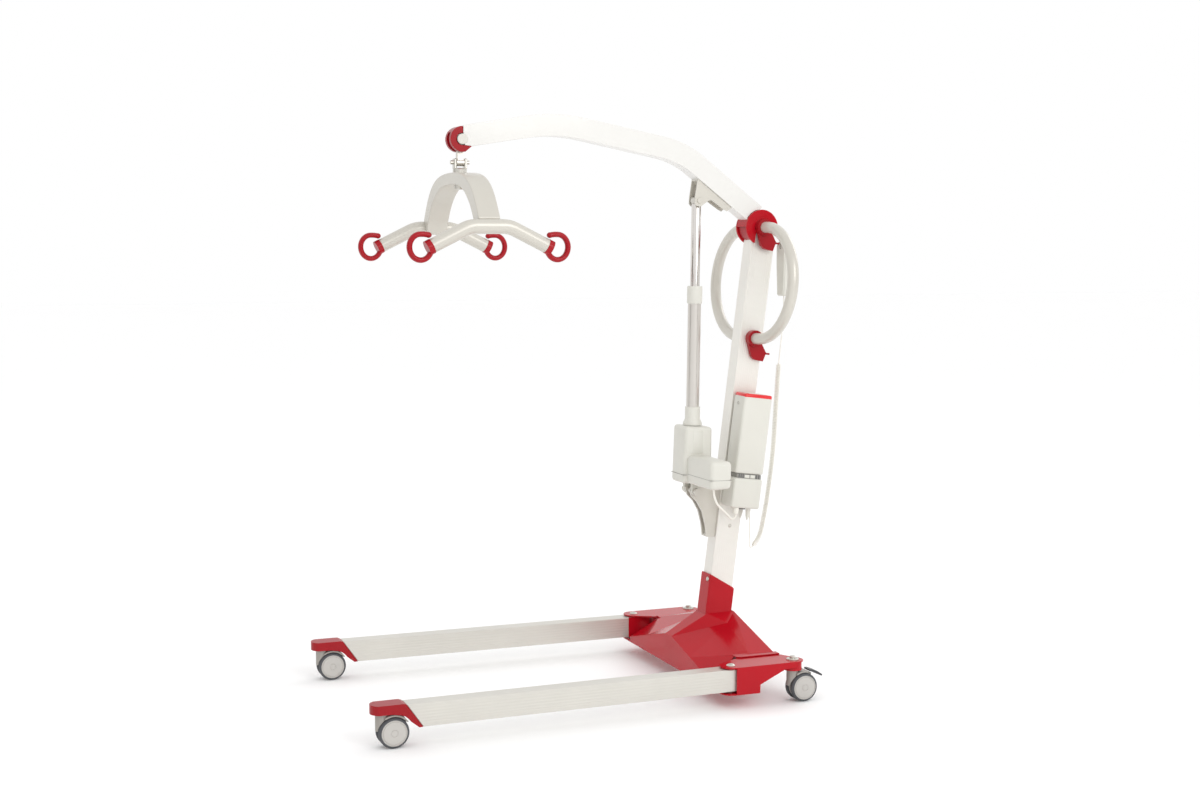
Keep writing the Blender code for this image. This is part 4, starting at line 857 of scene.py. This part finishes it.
fit(joined("drive_sleeve", [tube, collar, bush]), "drive", "anodised_aluminium", "drive_tube")

length = math.hypot(ROD_PIVOT[0] - CYLINDER_PIVOT[0], ROD_PIVOT[1] - CYLINDER_PIVOT[1])
bar_profile = [(0, length - 8), (12.2, length - 8.6), (13.0, length - 10), (13.0, 470), (0, 470)]
bar = lathed("bar", bar_profile, (0, 0, 0), "Z", chrome, 64, DRIVE_TURN)
eye_profile = [(5.3, 12), (11.4, 12), (12.5, 10.9), (12.5, -10.9), (11.4, -12), (5.3, -12), (5.3, 12)]
eye = lathed("eye", eye_profile, (0, 0, length), "X", zinc, 48, DRIVE_TURN)
fit(joined("drive_piston_rod", [bar, eye]), "rod", "chrome", "drive_rod")


# Control box and battery: two white plastic housings, one standing on the other with its contacts
# between them. The battery's red top is the handle that it is lifted off by.

signal_red = finish("signal_red", (0.72, 0.016, 0.02), 0.3, coat=0.2, mottle=0.04)
contact_grey = finish("contact_grey", (0.12, 0.12, 0.12), 0.45)
box_shell = block("box_shell", (26, -34, 478), (96, 51, 560), white_plastic, 6.0, 5, MAST_TURN)
base_plate = block("base_plate", (24.8, -22, 484), (29, 22, 730), white_plastic, 1.0, 2, MAST_TURN)
shelf = block("shelf", (40, -26, 559), (92.5, 46, 571.2), seam_grey, 1.2, 2, MAST_TURN)
pieces = [box_shell, base_plate, shelf]
for i, t in enumerate((-22, -16, -10, 30, 38)):
    pieces.append(block("contact", (88, t, 560.4), (94, t + 2.6, 570.4), contact_grey, 0.4, 1, MAST_TURN))
for t in (-1, 16):
    low, high = (89, t - 3, 561.0), (94.2, t + 11, 569.6)
    pieces.append(block("window", low, high, white_plastic, 0.8, 2, MAST_TURN))
gland = [(0, 480), (7.0, 480), (7.0, 478.4), (5.4, 477.9), (2.6, 477.7), (0, 477.7)]
pieces.append(lathed("gland", gland, (60, 40.3, 0), "Z", white_plastic, 24, MAST_TURN))
for x, t in ((44, 22), (78, 26)):
    plug = [(0, 479), (6.8, 479), (6.8, 470), (6.2, 468.6), (5.2, 458), (3.2, 450), (1.6, 446), (0, 446)]
    pieces.append(lathed("plug", plug, (x, t, 0), "Z", white_plastic, 24, MAST_TURN))
pieces.append(block("socket", (52, 4, 473), (74, 20, 479), contact_grey, 1.0, 2, MAST_TURN))
fit(joined("control_housing", pieces), "base", "white_plastic", "control_box")

battery_shell = block("battery_shell", (31, -34, 572), (96, 51, 782), white_plastic, 7.0, 5, MAST_TURN)
cap = block("cap", (33, -32, 776), (94.6, 49.6, 788.6), signal_red, 4.0, 4, MAST_TURN)
grip = block("grip", (48, -16, 786), (82, 32, 790), white_plastic, 1.8, 3, MAST_TURN)
latch_profile = [(0, 1.4), (3.2, 1.2), (4.0, 0.2), (4.0, -1)]
latch = lathed("latch", latch_profile, (62, -34, 760), "Y", seam_grey, 24, MAST_TURN)
fit(joined("battery_pack", [battery_shell, cap, grip, latch]), "battery", "grey_plastic", "battery")


# Motor cable: a short round lead from under the motor to a plug in the control box.

dress("motor_cable", cable_sheath)


# Hand control: a slim white plastic remote that hangs behind the mast on the clamp's pin, with a dark
# keypad and four sprung keys without any marks. The motor inside the base is finished here too.

dress("hand_control", white_plastic)
key_dark = finish("key_dark", (0.05, 0.05, 0.055), 0.5, mottle=0.1)
for number in range(1, 5):
    dress("hand_button_%d" % number, key_dark)
dress("spread_motor", hood_plastic)
keypad_outline = [(29, 1068), (61, 1068), (63, 1176), (27, 1176)]
keypad = plate("keypad", keypad_outline, 301.5, 302.6, "Y", key_dark, 0.4, 2)
fit(keypad, "hand_control", "dark_plastic")
